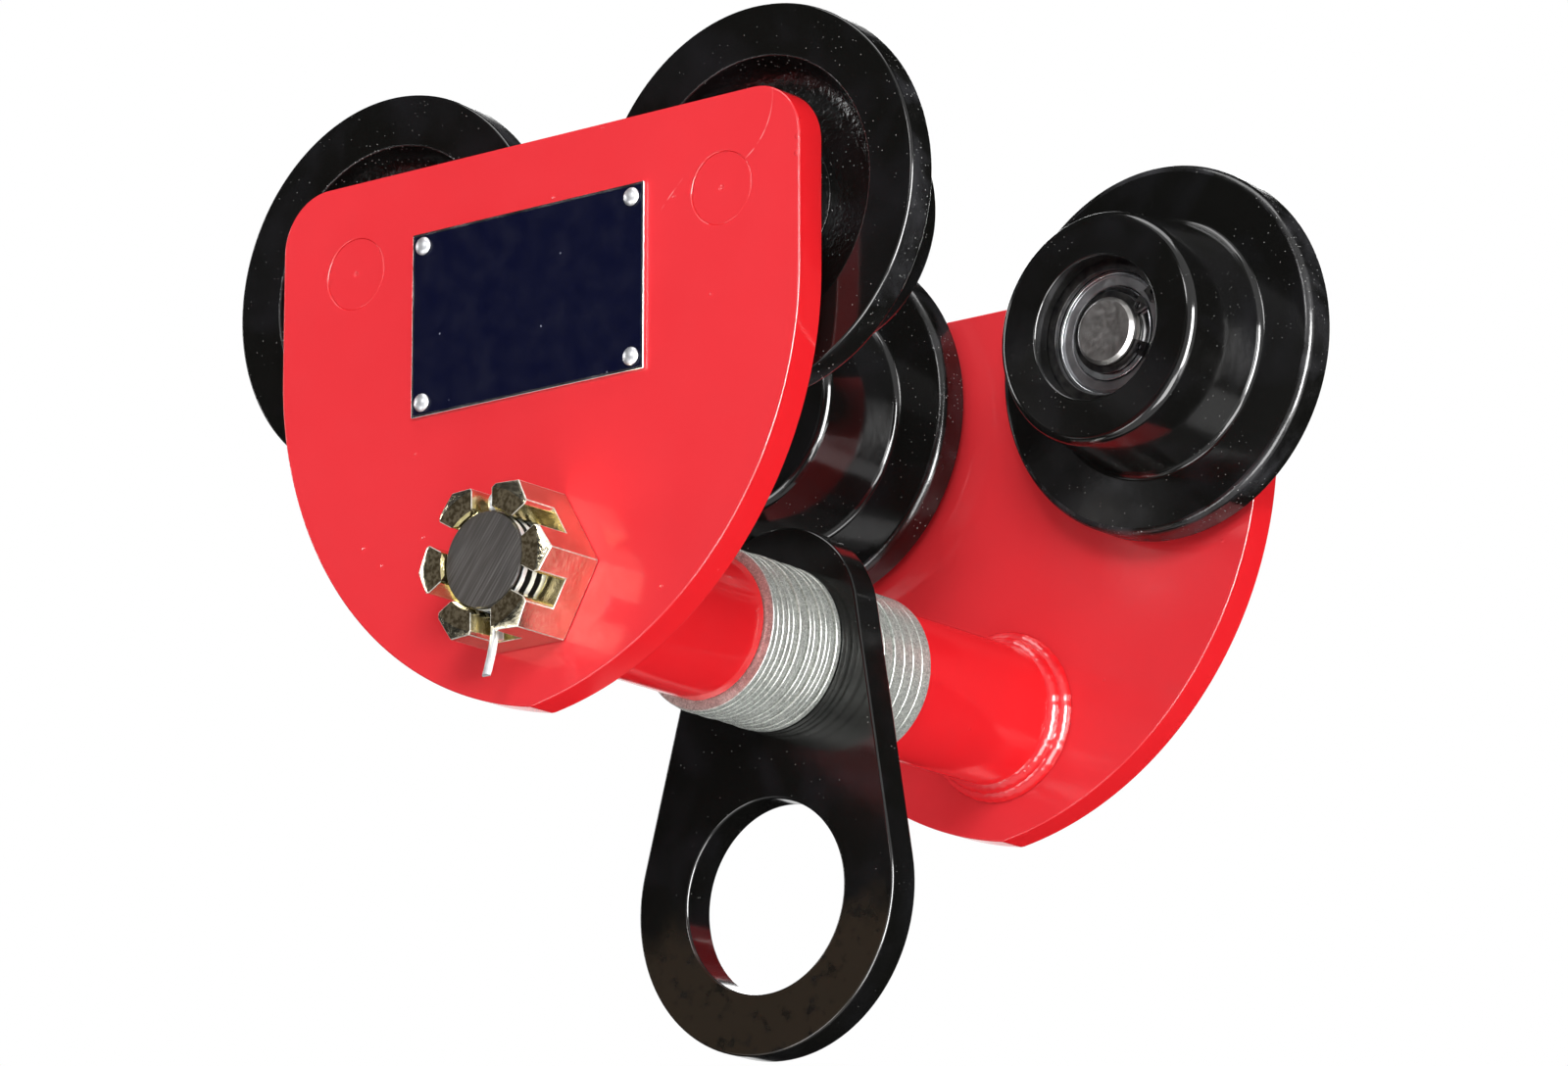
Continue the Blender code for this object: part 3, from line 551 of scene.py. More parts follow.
def yellow_chromate(name):
    material, tree, shader, where = recipe(name)
    patches = rescale(tree, noise(tree, where, 140.0, 3.0, 1.0), 0.38, 0.62)
    outside = blend(tree, patches, (0.54, 0.49, 0.35), (0.66, 0.61, 0.46))
    inside = blend(tree, patches, (0.46, 0.40, 0.19), (0.66, 0.56, 0.32))
    colour = blend(tree, in_slots(tree, where), outside, inside)
    on_axis = calc(tree, "ABSOLUTE", split(tree, where)[1])
    on_end = calc(tree, "GREATER_THAN", on_axis, NUT_BASE + NUT_HEIGHT - SLACK)
    brushed = rescale(tree, noise(tree, where, 900.0, 3.0), 0.4, 0.6)
    # The outer end faces get a dark brown with less metal: a painted reflection of the dark surroundings they
    # face.
    painted_dark_end = blend(tree, brushed, (0.060, 0.046, 0.026), (0.150, 0.122, 0.078))
    colour = blend(tree, on_end, colour, painted_dark_end)
    tree.links.new(rescale(tree, on_end, 0.0, 1.0, 0.96, 0.35), shader.inputs["Metallic"])
    roughness = rescale(tree, noise(tree, where, 900.0, 3.0), 0.35, 0.65, 0.10, 0.24)
    height = plus(tree, noise(tree, where, 250.0, 1.0), noise(tree, where, 1300.0, 3.0))
    dress(tree, shader, colour, roughness, bump(tree, height, 0.065 * MM))
    return material


YELLOW_ZINC = yellow_chromate("yellow_zinc")
WORN_EDGE = plated(
    "worn_edge", (0.44, 0.42, 0.36), (0.74, 0.72, 0.65), 700.0, (0.25, 0.40), 1500.0, 0.03 * MM, 0.4
)
print("finishes:", YELLOW_ZINC.name, WORN_EDGE.name)


# %% Mix the dark steel of the load shaft
def sawn_shaft_steel(name):
    """Dark steel: sawn ends with fine parallel lines, near-black sides, and pale crests, partly polished and
    partly a painted highlight.
    """
    material, tree, shader, where = recipe(name, metallic=0.1)
    tilt = {0: where, 3: (1.0, 0.0, 1.0), 2: (0.0, math.radians(52.0), 0.0)}
    lines_at = add(tree, "ShaderNodeMapping", tilt).outputs[0]
    waves = {0: lines_at, "Scale": 330.0, "Distortion": 2.2, "Detail": 3.0, "Detail Scale": 0.3}
    lines = add(tree, "ShaderNodeTexWave", waves, bands_direction="Z").outputs["Fac"]
    along = add(tree, "ShaderNodeMapping", {0: lines_at, 3: (0.04, 1.0, 1.0)}).outputs[0]
    streaks = rescale(tree, noise(tree, along, 1100.0, 3.0), 0.42, 0.68)
    face = blend(tree, noise(tree, where, 90.0, 3.0), (0.036, 0.032, 0.030), (0.052, 0.042, 0.036))
    cuts = calc(tree, "MULTIPLY", rescale(tree, lines, 0.2, 0.9, 0.35, 1.0), streaks)
    face = blend(tree, cuts, face, (0.125, 0.116, 0.110))
    on_axis = calc(tree, "ABSOLUTE", split(tree, where)[1])
    inward = calc(tree, "SUBTRACT", SHAFT_END - SLACK, on_axis)
    face = blend(tree, calc(tree, "GREATER_THAN", inward, 0.0), face, (0.012, 0.011, 0.010))
    reach = reach_from(tree, where, SHAFT.x, SHAFT.z)
    # Pale crests: partly polished steel and partly a painted highlight.
    crest_and_highlight = rescale(tree, reach, SHAFT_RADIUS - 3 * SLACK, SHAFT_RADIUS - SLACK)
    crest_and_highlight = calc(tree, "MULTIPLY", crest_and_highlight, calc(tree, "GREATER_THAN", inward, 1.1 * MM))
    colour = blend(tree, crest_and_highlight, face, (0.72, 0.78, 0.88))
    roughness = rescale(tree, crest_and_highlight, 0.0, 1.0, 0.42, 0.30)
    grain = plus(tree, noise(tree, where, 1500.0, 3.0), lines)
    dress(tree, shader, colour, roughness, bump(tree, grain, 0.03 * MM))
    return material


SHAFT_STEEL = sawn_shaft_steel("shaft_steel")
print("finish:", SHAFT_STEEL.name)

# %% [markdown]
# ## The camera
# The photograph looks up at the trolley from the right and from below, with a long lens that hardly
# narrows anything with distance. The camera stands where that view was taken from.

# %% Place the camera
CAMERA_PLACE = (1.3625, -1.7237, -0.6070)
LOOKING_UP = math.radians(14.834)
LOOKING_LEFT = math.radians(38.343)

lens = bpy.data.cameras.new("camera")
lens.lens = 184.06
lens.sensor_width = 36.0
lens.clip_start = 0.05
lens.clip_end = 100.0
camera = bpy.data.objects.new("camera", lens)
camera.location = CAMERA_PLACE
camera.rotation_euler = (math.pi / 2 + LOOKING_UP, 0.0, LOOKING_LEFT)
bpy.context.scene.collection.objects.link(camera)
bpy.context.scene.camera = camera
print(f"camera with a {lens.lens:.0f} mm lens, {Vector(CAMERA_PLACE).length:.2f} m away")

# %% [markdown]
# ## Side plates
# Each side plate is flame cut from 10 mm steel: two round top corners, two straight sides, and two large
# arcs that meet in a rounded tip under the shaft. The outline could be drawn with curves by eye, but
# arcs of the true radii keep it exact, so the outline is written as five arcs. The edges get a small
# rounding, where the enamel shows its bright line.

# %% The side plates' outline and the plates
PLATE_HALF_WIDTH = 92.5 * MM
PLATE_CORNER = 16.0 * MM
PLATE_STRAIGHT = 36.3 * MM
PLATE_SIDE_RADIUS = 110.0 * MM
PLATE_TIP = 5.0 * MM
PLATE_TOP = PLATE_HIGH.z - AXLE_Z
PLATE_THICKNESS = OUTER_FACE - INNER_FACE
AXLE_HOLE = 10.3 * MM
SHAFT_HOLE = 14.0 * MM
HOLE_ROUND = 0.35 * MM
PLATE_ROUND = 0.55 * MM


def plate_outline():
    """The outline about the axle line, clockwise from the top right corner."""
    corner_x = PLATE_HALF_WIDTH - PLATE_CORNER
    corner_y = PLATE_TOP - PLATE_CORNER
    arc_x = PLATE_SIDE_RADIUS - PLATE_HALF_WIDTH
    arc_y = corner_y - PLATE_STRAIGHT
    tip_y = arc_y - math.sqrt((PLATE_SIDE_RADIUS - PLATE_TIP) ** 2 - arc_x**2)
    meet = math.atan2(tip_y - arc_y, arc_x)
    other = -math.pi - meet
    fine = math.radians(1.5)
    points = arc(corner_x, corner_y, PLATE_CORNER, math.pi / 2, 0.0)
    points += arc(-arc_x, arc_y, PLATE_SIDE_RADIUS, 0.0, meet, fine)
    points += arc(0.0, tip_y, PLATE_TIP, meet, other, math.radians(8.0))[1:-1]
    points += arc(arc_x, arc_y, PLATE_SIDE_RADIUS, other, -math.pi, fine)
    points += arc(-corner_x, corner_y, PLATE_CORNER, math.pi, math.pi / 2)
    return points


def drill_profile():
    """The space of an axle hole and of its rounded outer edge. Height 0 is the plate's outer face."""
    wide = AXLE_HOLE + HOLE_ROUND
    turn = arc(0.0, -HOLE_ROUND, HOLE_ROUND, math.pi / 2, math.pi, 0.4)
    edge = [(wide + x, y, 0) for x, y in turn]
    deep = -PLATE_THICKNESS - MM
    return [(0.0, MM, 0), (wide, MM, 0), *edge, (AXLE_HOLE, deep, 0), (0.0, deep, 0)]


def make_side_plate(row, side, finish):
    """side is -1 for the near plate and 1 for the far one."""
    place = Vector((0.0, side * (INNER_FACE + OUTER_FACE) / 2, AXLE_Z))
    loops = [plate_outline(), circle(0.0, SHAFT.z - AXLE_Z, SHAFT_HOLE)]
    plate = flat(f"{row}_plate", loops, PLATE_THICKNESS, seat(place, -1), PLATE_ROUND)
    for end in ("left", "right"):
        at = seat(Vector((AXLE[f"{row}_{end}"].x, side * OUTER_FACE, AXLE_Z)), side)
        cut(plate, turned("drill", drill_profile(), at, steps=112, closed=False))
    fit(finished(plate, finish), "frame", "red_enamel", f"side_plate_{row}")


make_side_plate("near", -1, SCRATCHED_RED)
make_side_plate("far", 1, RED)

# %% [markdown]
# ## Axles
# Each wheel turns on a short steel axle that is pressed through the side plate and welded flush. The
# paint runs over its end, so from outside there is only a circle with a fine groove and the centre mark
# of the lathe. Inside, the bare axle has a shoulder for the bearing, a groove for its retaining ring and
# a chamfered tip. The painted end and the bare axle have different finishes, so they are two pieces.

# %% The axles' profiles
AXLE_RADIUS = 10.0 * MM
BEARING_INSET = 18.8 * MM
WHEEL_CLEARANCE = 3.2 * MM
BEARING_WIDTH = 12.0 * MM
BEARING_START = WHEEL_CLEARANCE + BEARING_INSET
BEARING_END = BEARING_START + BEARING_WIDTH
AXLE_GROOVE_END = BEARING_END + 1.8 * MM
AXLE_TIP = AXLE_GROOVE_END + 2.0 * MM
PLUG_DEPTH = 2.5 * MM
PLUG_SINK = 0.22 * MM

AXLE_END = softened(
    [
        (0.0, PLUG_DEPTH - PLATE_THICKNESS, 0.0, 0),
        (AXLE_HOLE - 0.02 * MM, PLUG_DEPTH - PLATE_THICKNESS, 0.0, 0),
        (AXLE_HOLE - 0.02 * MM, PLUG_SINK - PLATE_THICKNESS, 0.30 * MM, 0),
        (0.9 * MM, PLUG_SINK - PLATE_THICKNESS, 0.20 * MM, 0),
        (0.0, 0.9 * MM - PLATE_THICKNESS, 0.0, 0),
    ],
    closed=False,
)
BARE_AXLE = softened(
    [
        (0.0, AXLE_TIP, 0.0, 0),
        (9.0 * MM, AXLE_TIP, 0.0, 0),
        (AXLE_RADIUS, AXLE_TIP - 1.0 * MM, 0.0, 0),
        (AXLE_RADIUS, AXLE_GROOVE_END, 0.15 * MM, 0),
        (AXLE_RADIUS - 0.7 * MM, AXLE_GROOVE_END, 0.0, 0),
        (AXLE_RADIUS - 0.7 * MM, BEARING_END, 0.0, 0),
        (AXLE_RADIUS, BEARING_END, 0.15 * MM, 0),
        (AXLE_RADIUS, BEARING_START - GAP, 0.0, 0),
        (13.0 * MM, BEARING_START - GAP, 0.4 * MM, 0),
        (13.0 * MM, GAP, 0.4 * MM, 0),
        (AXLE_RADIUS, GAP, 0.0, 0),
        (AXLE_RADIUS, PLUG_DEPTH - PLATE_THICKNESS + 0.1 * MM, 0.0, 0),
        (0.0, PLUG_DEPTH - PLATE_THICKNESS + 0.1 * MM, 0.0, 0),
    ],
    closed=False,
)
print(f"axle end profile of {len(AXLE_END)} points, bare axle of {len(BARE_AXLE)}")


# %% Make the axles
def on_axle(spot, distance=0.0):
    """A seat on an axle, that far inboard of its side plate's inner face."""
    inboard = 1 if spot.startswith("near") else -1
    return seat(Vector((AXLE[spot].x, inboard * (distance - INNER_FACE), AXLE_Z)), inboard)


for spot in SPOTS:
    end = turned(f"axle_end_{spot}", AXLE_END, on_axle(spot), closed=False)
    fit(finished(end, RED), "frame", "red_enamel", f"axle_{spot}")
    bare = turned(f"bare_axle_{spot}", BARE_AXLE, on_axle(spot), steps=64, closed=False)
    fit(finished(bare, AXLE_STEEL), "frame", "dark_steel", f"axle_{spot}")

# %% [markdown]
# ## Wheels
# A wheel is a casting. Its flange stands beside the side plate and keeps the trolley on its way, and the
# tapered tread inboard of it does the rolling. The flange side is dished round a hub. The rim and the
# faces are turned smooth, and the dish keeps its casting skin, so the profile names a finish for each
# stretch: 0 smooth, 1 cast and 2 the worn rim.

# %% The wheels' profile
BEARING_SEAT = (BEARING_INSET - GAP) / MM

WHEEL_PROFILE = softened(
    in_mm(
        [
            (21.3, 39.1, 0.7, 0),
            (34.2, 39.1, 2.8, 0),
            (37.5, 10.0, 2.0, 0),
            (55.0, 10.0, 2.2, 2),
            (55.0, 0.0, 0.8, 0),
            (40.0, 0.0, 0.7, 1),
            (40.0, 9.0, 8.0, 1),
            (20.0, 9.0, 0.3, 1),
            (20.0, 4.0, 0.5, 1),
            (15.5, 4.0, 0.6, 1),
            (15.5, BEARING_SEAT, 0.0, 0),
            (21.3, BEARING_SEAT, 0.0, 0),
            (21.3, 30.8, 0.0, 0),
            (22.5, 30.8, 0.0, 0),
            (22.5, 33.15, 0.0, 0),
            (21.3, 33.15, 0.2, 0),
        ]
    ),
    spans=6,
)

for spot in SPOTS:
    wheel = turned(f"cast_wheel_{spot}", WHEEL_PROFILE, on_axle(spot, WHEEL_CLEARANCE), steps=144)
    finished(wheel, SMOOTH_BLACK, CAST_BLACK, RIM_BLACK)
    fit(wheel, f"wheel_{spot}", "black_enamel", f"wheel_{spot}")

# %% [markdown]
# ## Bearings and retaining rings
# Each wheel runs on a shielded ball bearing, held in the wheel's bore by one spring ring and on the axle
# by another. They are seen from inboard only, but they explain how the wheel is held. The bearing rings
# are turned like the wheel, with finish 1 for the pressed shields. The spring rings are flat stampings
# with two eared ends, so they are cut from plate.

# %% Ball bearings
OUTER_RING = softened(
    in_mm(
        [
            (21.0, 12.0, 0.6, 0),
            (21.0, 0.0, 0.6, 0),
            (17.7, 0.0, 0.3, 0),
            (17.3, 0.7, 0.0, 1),
            (16.8, 0.35, 0.2, 1),
            (14.1, 0.35, 0.2, 1),
            (14.1, 1.2, 0.0, 1),
            (17.6, 1.2, 0.0, 0),
            (17.6, 10.8, 0.0, 1),
            (14.1, 10.8, 0.0, 1),
            (14.1, 11.65, 0.2, 1),
            (16.8, 11.65, 0.2, 1),
            (17.3, 11.3, 0.0, 0),
            (17.7, 12.0, 0.3, 0),
        ]
    )
)
INNER_RING = softened(
    in_mm([(13.8, 12.0, 0.3, 0), (13.8, 0.0, 0.3, 0), (10.3, 0.0, 0.5, 0), (10.3, 12.0, 0.5, 0)])
)

for spot in SPOTS:
    at = on_axle(spot, BEARING_START)
    outer = turned(f"bearing_ring_{spot}", OUTER_RING, at)
    finished(outer, BEARING_STEEL, SHIELD_STEEL)
    fit(outer, f"wheel_{spot}", "bearing_steel", f"bearing_outer_{spot}")
    inner = turned(f"bearing_core_{spot}", INNER_RING, at, steps=72)
    fit(finished(inner, BEARING_STEEL), "frame", "bearing_steel", f"bearing_inner_{spot}")


# %% Retaining rings
RING_OPENING = math.radians(44.0)
EAR_RISE = 2.4 * MM
EAR_LENGTH = 4.4 * MM
EAR_HOLE = 1.0 * MM


def spring_ring(name, spot, plain_radius, section, side, thickness):
    """An open ring beside a bearing, with an ear and a hole at each end. The ears stand out where side
    is 1 and in where it is -1."""
    edge = plain_radius + side * section
    tip = edge + side * EAR_RISE
    start = RING_OPENING / 2
    end = 2 * math.pi - start
    ear = EAR_LENGTH / tip
    loop = arc(0.0, 0.0, plain_radius, start, end)
    loop += arc(0.0, 0.0, tip, end, end - ear)
    loop += arc(0.0, 0.0, edge, end - ear, start + ear)
    loop += arc(0.0, 0.0, tip, start + ear, start)
    turns = (start + ear / 2, end - ear / 2)
    holes = [circle(edge * math.cos(a), edge * math.sin(a), EAR_HOLE, 20) for a in turns]
    return flat(name, [loop, *holes], thickness, on_axle(spot, BEARING_END + GAP + thickness / 2), 0.12 * MM)


for spot in SPOTS:
    bore = spring_ring(f"wheel_ring_{spot}", spot, 22.2 * MM, 3.6 * MM, side=-1, thickness=1.75 * MM)
    fit(finished(bore, SPRING_STEEL), f"wheel_{spot}", "dark_steel", f"bore_ring_{spot}")
    neck = spring_ring(f"shaft_ring_{spot}", spot, 9.6 * MM, 2.4 * MM, side=1, thickness=1.2 * MM)
    fit(finished(neck, SPRING_STEEL), "frame", "dark_steel", f"axle_ring_{spot}")

# %% [markdown]
# ## Spacer tubes and their welds
# A tube is welded to the inside of each side plate, and the washers bear on its other end. The weld was
# laid in two runs, which show as two rounded beads with a small ripple where the torch paused. The beads
# are part of the tube's profile, and a shape function adds the ripple round the ring, because a bead is
# never an exact circle.

# %% Tubes with a rippled double weld
TUBE_RADIUS = 21.0 * MM
WELD_ON_TUBE = 5.7 * MM
WELD_ON_PLATE = 4.3 * MM
WELD_CROWN = 0.55 * MM


def weld_beads():
    """Two beads side by side, from the tube's surface down to the side plate."""
    start = Vector((TUBE_RADIUS, WELD_ON_TUBE))
    end = Vector((TUBE_RADIUS + WELD_ON_PLATE, 0.0))
    across = (end - start).normalized()
    out = Vector((-across.y, across.x))
    spans = 16
    points = []
    for i in range(spans + 1):
        share = i / spans
        crown = abs(math.sin(2 * math.pi * share)) ** 0.8 * WELD_CROWN
        spot = start.lerp(end, share) + out * crown
        points.append((spot.x, max(spot.y, 0.0), 0))
    return points


def rippled(seed):
    def shape(angle, radius, height):
        extra = radius - TUBE_RADIUS
        if extra <= 0.05 * MM or height > WELD_ON_TUBE:
            return radius, height
        run = 1 if extra < WELD_ON_PLATE / 2 else 2
        wave = math.sin(46 * angle + seed + 1.7 * math.sin(5 * angle * run + seed))
        slow = math.sin(3 * angle + seed) + 0.6 * math.sin(7 * angle + 2 * seed)
        fade = min(1.0, extra / (0.6 * MM), (WELD_ON_PLATE + 0.3 * MM - extra) / (0.4 * MM))
        return radius + max(fade, 0.0) * (0.09 * wave + 0.10 * slow) * MM, height

    return shape


for row, side in (("near", -1), ("far", 1)):
    low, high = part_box(f"tube_{row}")
    length = high.y - low.y
    profile = [(TUBE_RADIUS - 0.9 * MM, length, 0), (TUBE_RADIUS - 0.25 * MM, length - 0.2 * MM, 0)]
    profile += [(TUBE_RADIUS, length - 0.9 * MM, 0), (TUBE_RADIUS, WELD_ON_TUBE + 1.0 * MM, 0)]
    profile += weld_beads()
    profile += [(SHAFT_HOLE, 0.0, 0), (SHAFT_HOLE, length, 0)]
    base = Vector((SHAFT.x, high.y if side > 0 else low.y, SHAFT.z))
    tube = turned(f"spacer_tube_{row}", profile, seat(base, -side), steps=180, shape=rippled(2.0 + side))
    fit(finished(tube, RED, sharp=50.0), "frame", "red_enamel", f"tube_{row}")

# %% [markdown]
# ## Washers
# Washers fill the space between the tubes and the suspension plate, and set how far apart the side
# plates stand. They hang loosely on the shaft, so none lines up with its neighbour. Geometry Nodes suit
# this: one rounded ring is instanced along a line, and a seeded random value lets each one slip a little.
# Realize Instances and Set Material end the tree, and the result becomes a plain mesh.


# %% A node tree that stacks washers
def new_tree(name, inputs):
    """A Geometry Nodes tree with one output and these named inputs, and the inputs' sockets."""
    tree = bpy.data.node_groups.new(name, "GeometryNodeTree")
    tree.interface.new_socket("Geometry", in_out="OUTPUT", socket_type="NodeSocketGeometry")
    for label, kind in inputs.items():
        tree.interface.new_socket(label, in_out="INPUT", socket_type="NodeSocket" + kind)
    return tree, add(tree, "NodeGroupInput").outputs


def step(tree, kind, inputs, **settings):
    """A node's first output."""
    return add(tree, kind, inputs, **settings).outputs[0]


def washer_tree():
    sizes = dict.fromkeys(("Outside", "Bore", "Thickness", "Rounding"), "Float")
    places = dict.fromkeys(("Pitch", "Start", "Slip"), "Vector")
    inputs = {"Count": "Int", **sizes, **places, "Seed": "Int", "Finish": "Material"}
    tree, given = new_tree("washer_stack", inputs)
    both = calc(tree, "ADD", given["Outside"], given["Bore"])
    wall = calc(tree, "MULTIPLY", calc(tree, "SUBTRACT", given["Outside"], given["Bore"]), 0.5)
    radius = calc(tree, "MULTIPLY", both, 0.25)
    rail = step(tree, "GeometryNodeCurvePrimitiveCircle", {"Resolution": 112, "Radius": radius})
    across = {"Width": wall, "Height": given["Thickness"]}
    section = step(tree, "GeometryNodeCurvePrimitiveQuadrilateral", across)
    corners = {"Curve": section, "Radius": given["Rounding"], "Count": 3}
    rounded = step(tree, "GeometryNodeFilletCurve", corners, mode="POLY")
    ring = step(tree, "GeometryNodeCurveToMesh", {"Curve": rail, "Profile Curve": rounded})
    turn = {"Geometry": ring, "Rotation": (math.pi / 2, 0.0, 0.0)}
    upright = step(tree, "GeometryNodeTransform", turn)
    row = {"Count": given["Count"], "Start Location": given["Start"], "Offset": given["Pitch"]}
    line = step(tree, "GeometryNodeMeshLine", row, mode="OFFSET")
    back = step(tree, "ShaderNodeVectorMath", {0: given["Slip"], "Scale": -1.0}, operation="SCALE")
    span = {0: back, 1: given["Slip"], "Seed": given["Seed"]}
    slip = step(tree, "FunctionNodeRandomValue", span, data_type="FLOAT_VECTOR")
    loose = step(tree, "GeometryNodeSetPosition", {"Geometry": line, "Offset": slip})
    stack = step(tree, "GeometryNodeInstanceOnPoints", {"Points": loose, "Instance": upright})
    real = step(tree, "GeometryNodeRealizeInstances", {0: stack})
    coated = step(tree, "GeometryNodeSetMaterial", {"Geometry": real, "Material": given["Finish"]})
    add(tree, "NodeGroupOutput", {0: coated})
    return tree


def grown(name, tree, values):
    """A plain mesh piece from a node tree, with its named inputs set before it is first run."""
    piece = bpy.data.objects.new(name, bpy.data.meshes.new(name))
    nodes = piece.modifiers.new("Nodes", "NODES")
    nodes.node_group = tree
    for item in tree.interface.items_tree:
        if item.in_out == "INPUT" and item.name in values:
            nodes[item.identifier] = values[item.name]
    bpy.context.scene.collection.objects.link(piece)
    return piece


WASHER_TREE = washer_tree()
print("washer tree of", len(WASHER_TREE.nodes), "nodes")

# %% Both washer stacks
for row, side, count, seed in (("near", -1, 13, 4), ("far", 1, 7, 11)):
    first = middle(f"washer_{row}_01")
    second = middle(f"washer_{row}_02")
    low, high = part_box(f"washer_{row}_01")
    values = {
        "Count": count,
        "Outside": 47.5 * MM,
        "Bore": 28.4 * MM,
        "Thickness": high.y - low.y,
        "Rounding": 0.40 * MM,
        "Pitch": second - first,
        "Start": first,
        "Slip": (0.38 * MM, 0.08 * MM, 0.17 * MM),
        "Seed": seed,
        "Finish": ZINC,
    }
    stack = grown(f"washers_{row}", WASHER_TREE, values)
    nodes = [f"washer_{row}_{number + 1:02d}" for number in range(count)]
    fit(finished(stack, ZINC), "frame", "bright_zinc", *nodes)

# %% [markdown]
# ## Load shaft
# The shaft is a 27 mm bar with a coarse, flat-topped thread at both ends, sawn off square. In the slots
# of the nut the thread shows as bright crests and dark roots. A thread is a groove that climbs one
# pitch for each turn, so the shape function lowers the surface wherever the height and the angle together
# say that it is a root. That keeps one closed skin, where a separate coil would leave a seam.

# %% The shaft with its threads
THREAD_DEPTH = 2.2 * MM
THREAD_LENGTH = 27.0 * MM
FIRST_CREST = 2.7 * MM - SHAFT_END
CREST_TURN = math.radians(30.0)
END_CHAMFER = 0.35 * MM


def threaded(angle, radius, height):
    into = SHAFT_END - abs(height)
    if radius < SHAFT_RADIUS or into > THREAD_LENGTH:
        return radius, height
    phase = ((height - FIRST_CREST) / THREAD_PITCH - (angle - CREST_TURN) / (2 * math.pi)) % 1.0
    flank = min(max((abs(phase - 0.5) - 0.20) / 0.09, 0.0), 1.0)
    fade = min(max((into - 0.9 * MM) / (0.6 * MM), 0.0), (THREAD_LENGTH - into) / (2.0 * MM), 1.0)
    return radius - THREAD_DEPTH * (1.0 - flank) * fade, height


def shaft_profile():
    fine = 0.2 * MM
    heights = [SHAFT_END - (END_CHAMFER + fine * i) for i in range(int(THREAD_LENGTH / fine) + 1)]
    heights += [-height for height in reversed(heights)]
    side = [(SHAFT_RADIUS, height, 0) for height in heights]
    rim = SHAFT_RADIUS - END_CHAMFER
    return [(0.0, SHAFT_END, 0), (rim, SHAFT_END, 0), *side, (rim, -SHAFT_END, 0), (0.0, -SHAFT_END, 0)]


shaft = turned("threaded_shaft", shaft_profile(), seat(SHAFT, 1), closed=False, shape=threaded)
fit(finished(shaft, SHAFT_STEEL, sharp=28.0), "frame", "dark_steel", "load_shaft")

# %% [markdown]
# ## Slotted nuts
# The nut is a hexagon with six slots for the split pin, chamfered at its outer face. Where the chamfer
# cone meets a flat it leaves a curved edge, which only comes out right by cutting: the hexagon is
# intersected with a cone, then the threaded bore and the slots are cut away, and last the edges are
# broken a little. The broken edges get a brighter finish, because the plating wears thin there.

# %% Cut the nuts
NUT_CORNER = 41.0 * MM / 2 / math.cos(math.pi / 6)
NUT_FACE = 39.2 * MM / 2
NUT_CHAMFER = math.radians(21.0)
NUT_EDGE = 0.24 * MM
EDGES_FROM = 15.2 * MM


def slot_outline(wide):
    """A slot seen along the shaft. It flares where it meets the bore and where it leaves the nut."""
    bend = 19.4 * MM
    corners = [
        (wide, SLOT_HALF + 0.83 * (wide - bend), 0.0, 0),
        (bend, SLOT_HALF, 1.0 * MM, 0),
        (14.4 * MM, SLOT_HALF, 1.4 * MM, 0),
        (12.0 * MM, 5.6 * MM, 0.0, 0),
    ]
    corners += [(-x, y, rounding, finish) for x, y, rounding, finish in reversed(corners)]
    corners += [(-x, -y, rounding, finish) for x, y, rounding, finish in corners]
    return [(x, y) for x, y, _finish in softened(corners, spans=3)]


def break_edges(piece, width, inner_radius):
    """Rounds the outward edges beyond that distance from the shaft, and gives the new faces finish 1."""
    work = bmesh.new()
    work.from_mesh(piece.data)
    bmesh.ops.remove_doubles(work, verts=work.verts, dist=0.01 * MM)
    bmesh.ops.recalc_face_normals(work, faces=work.faces)
    edges = []
    for edge in work.edges:
        far_out = max(math.hypot(v.co.x - SHAFT.x, v.co.z - SHAFT.z) for v in edge.verts) > inner_radius
        if far_out and edge.is_convex and edge.calc_face_angle(0.0) > math.radians(38.0):
            edges.append(edge)
    settings = {"segments": 2, "profile": 0.5, "affect": "EDGES", "clamp_overlap": False, "material": 1}
    bmesh.ops.bevel(work, geom=edges, offset=width, **settings)
    open_edges = sum(not edge.is_manifold for edge in work.edges)
    work.to_mesh(piece.data)
    work.free()
    print(f"{piece.name}: {len(edges)} edges broken, {open_edges} left open")


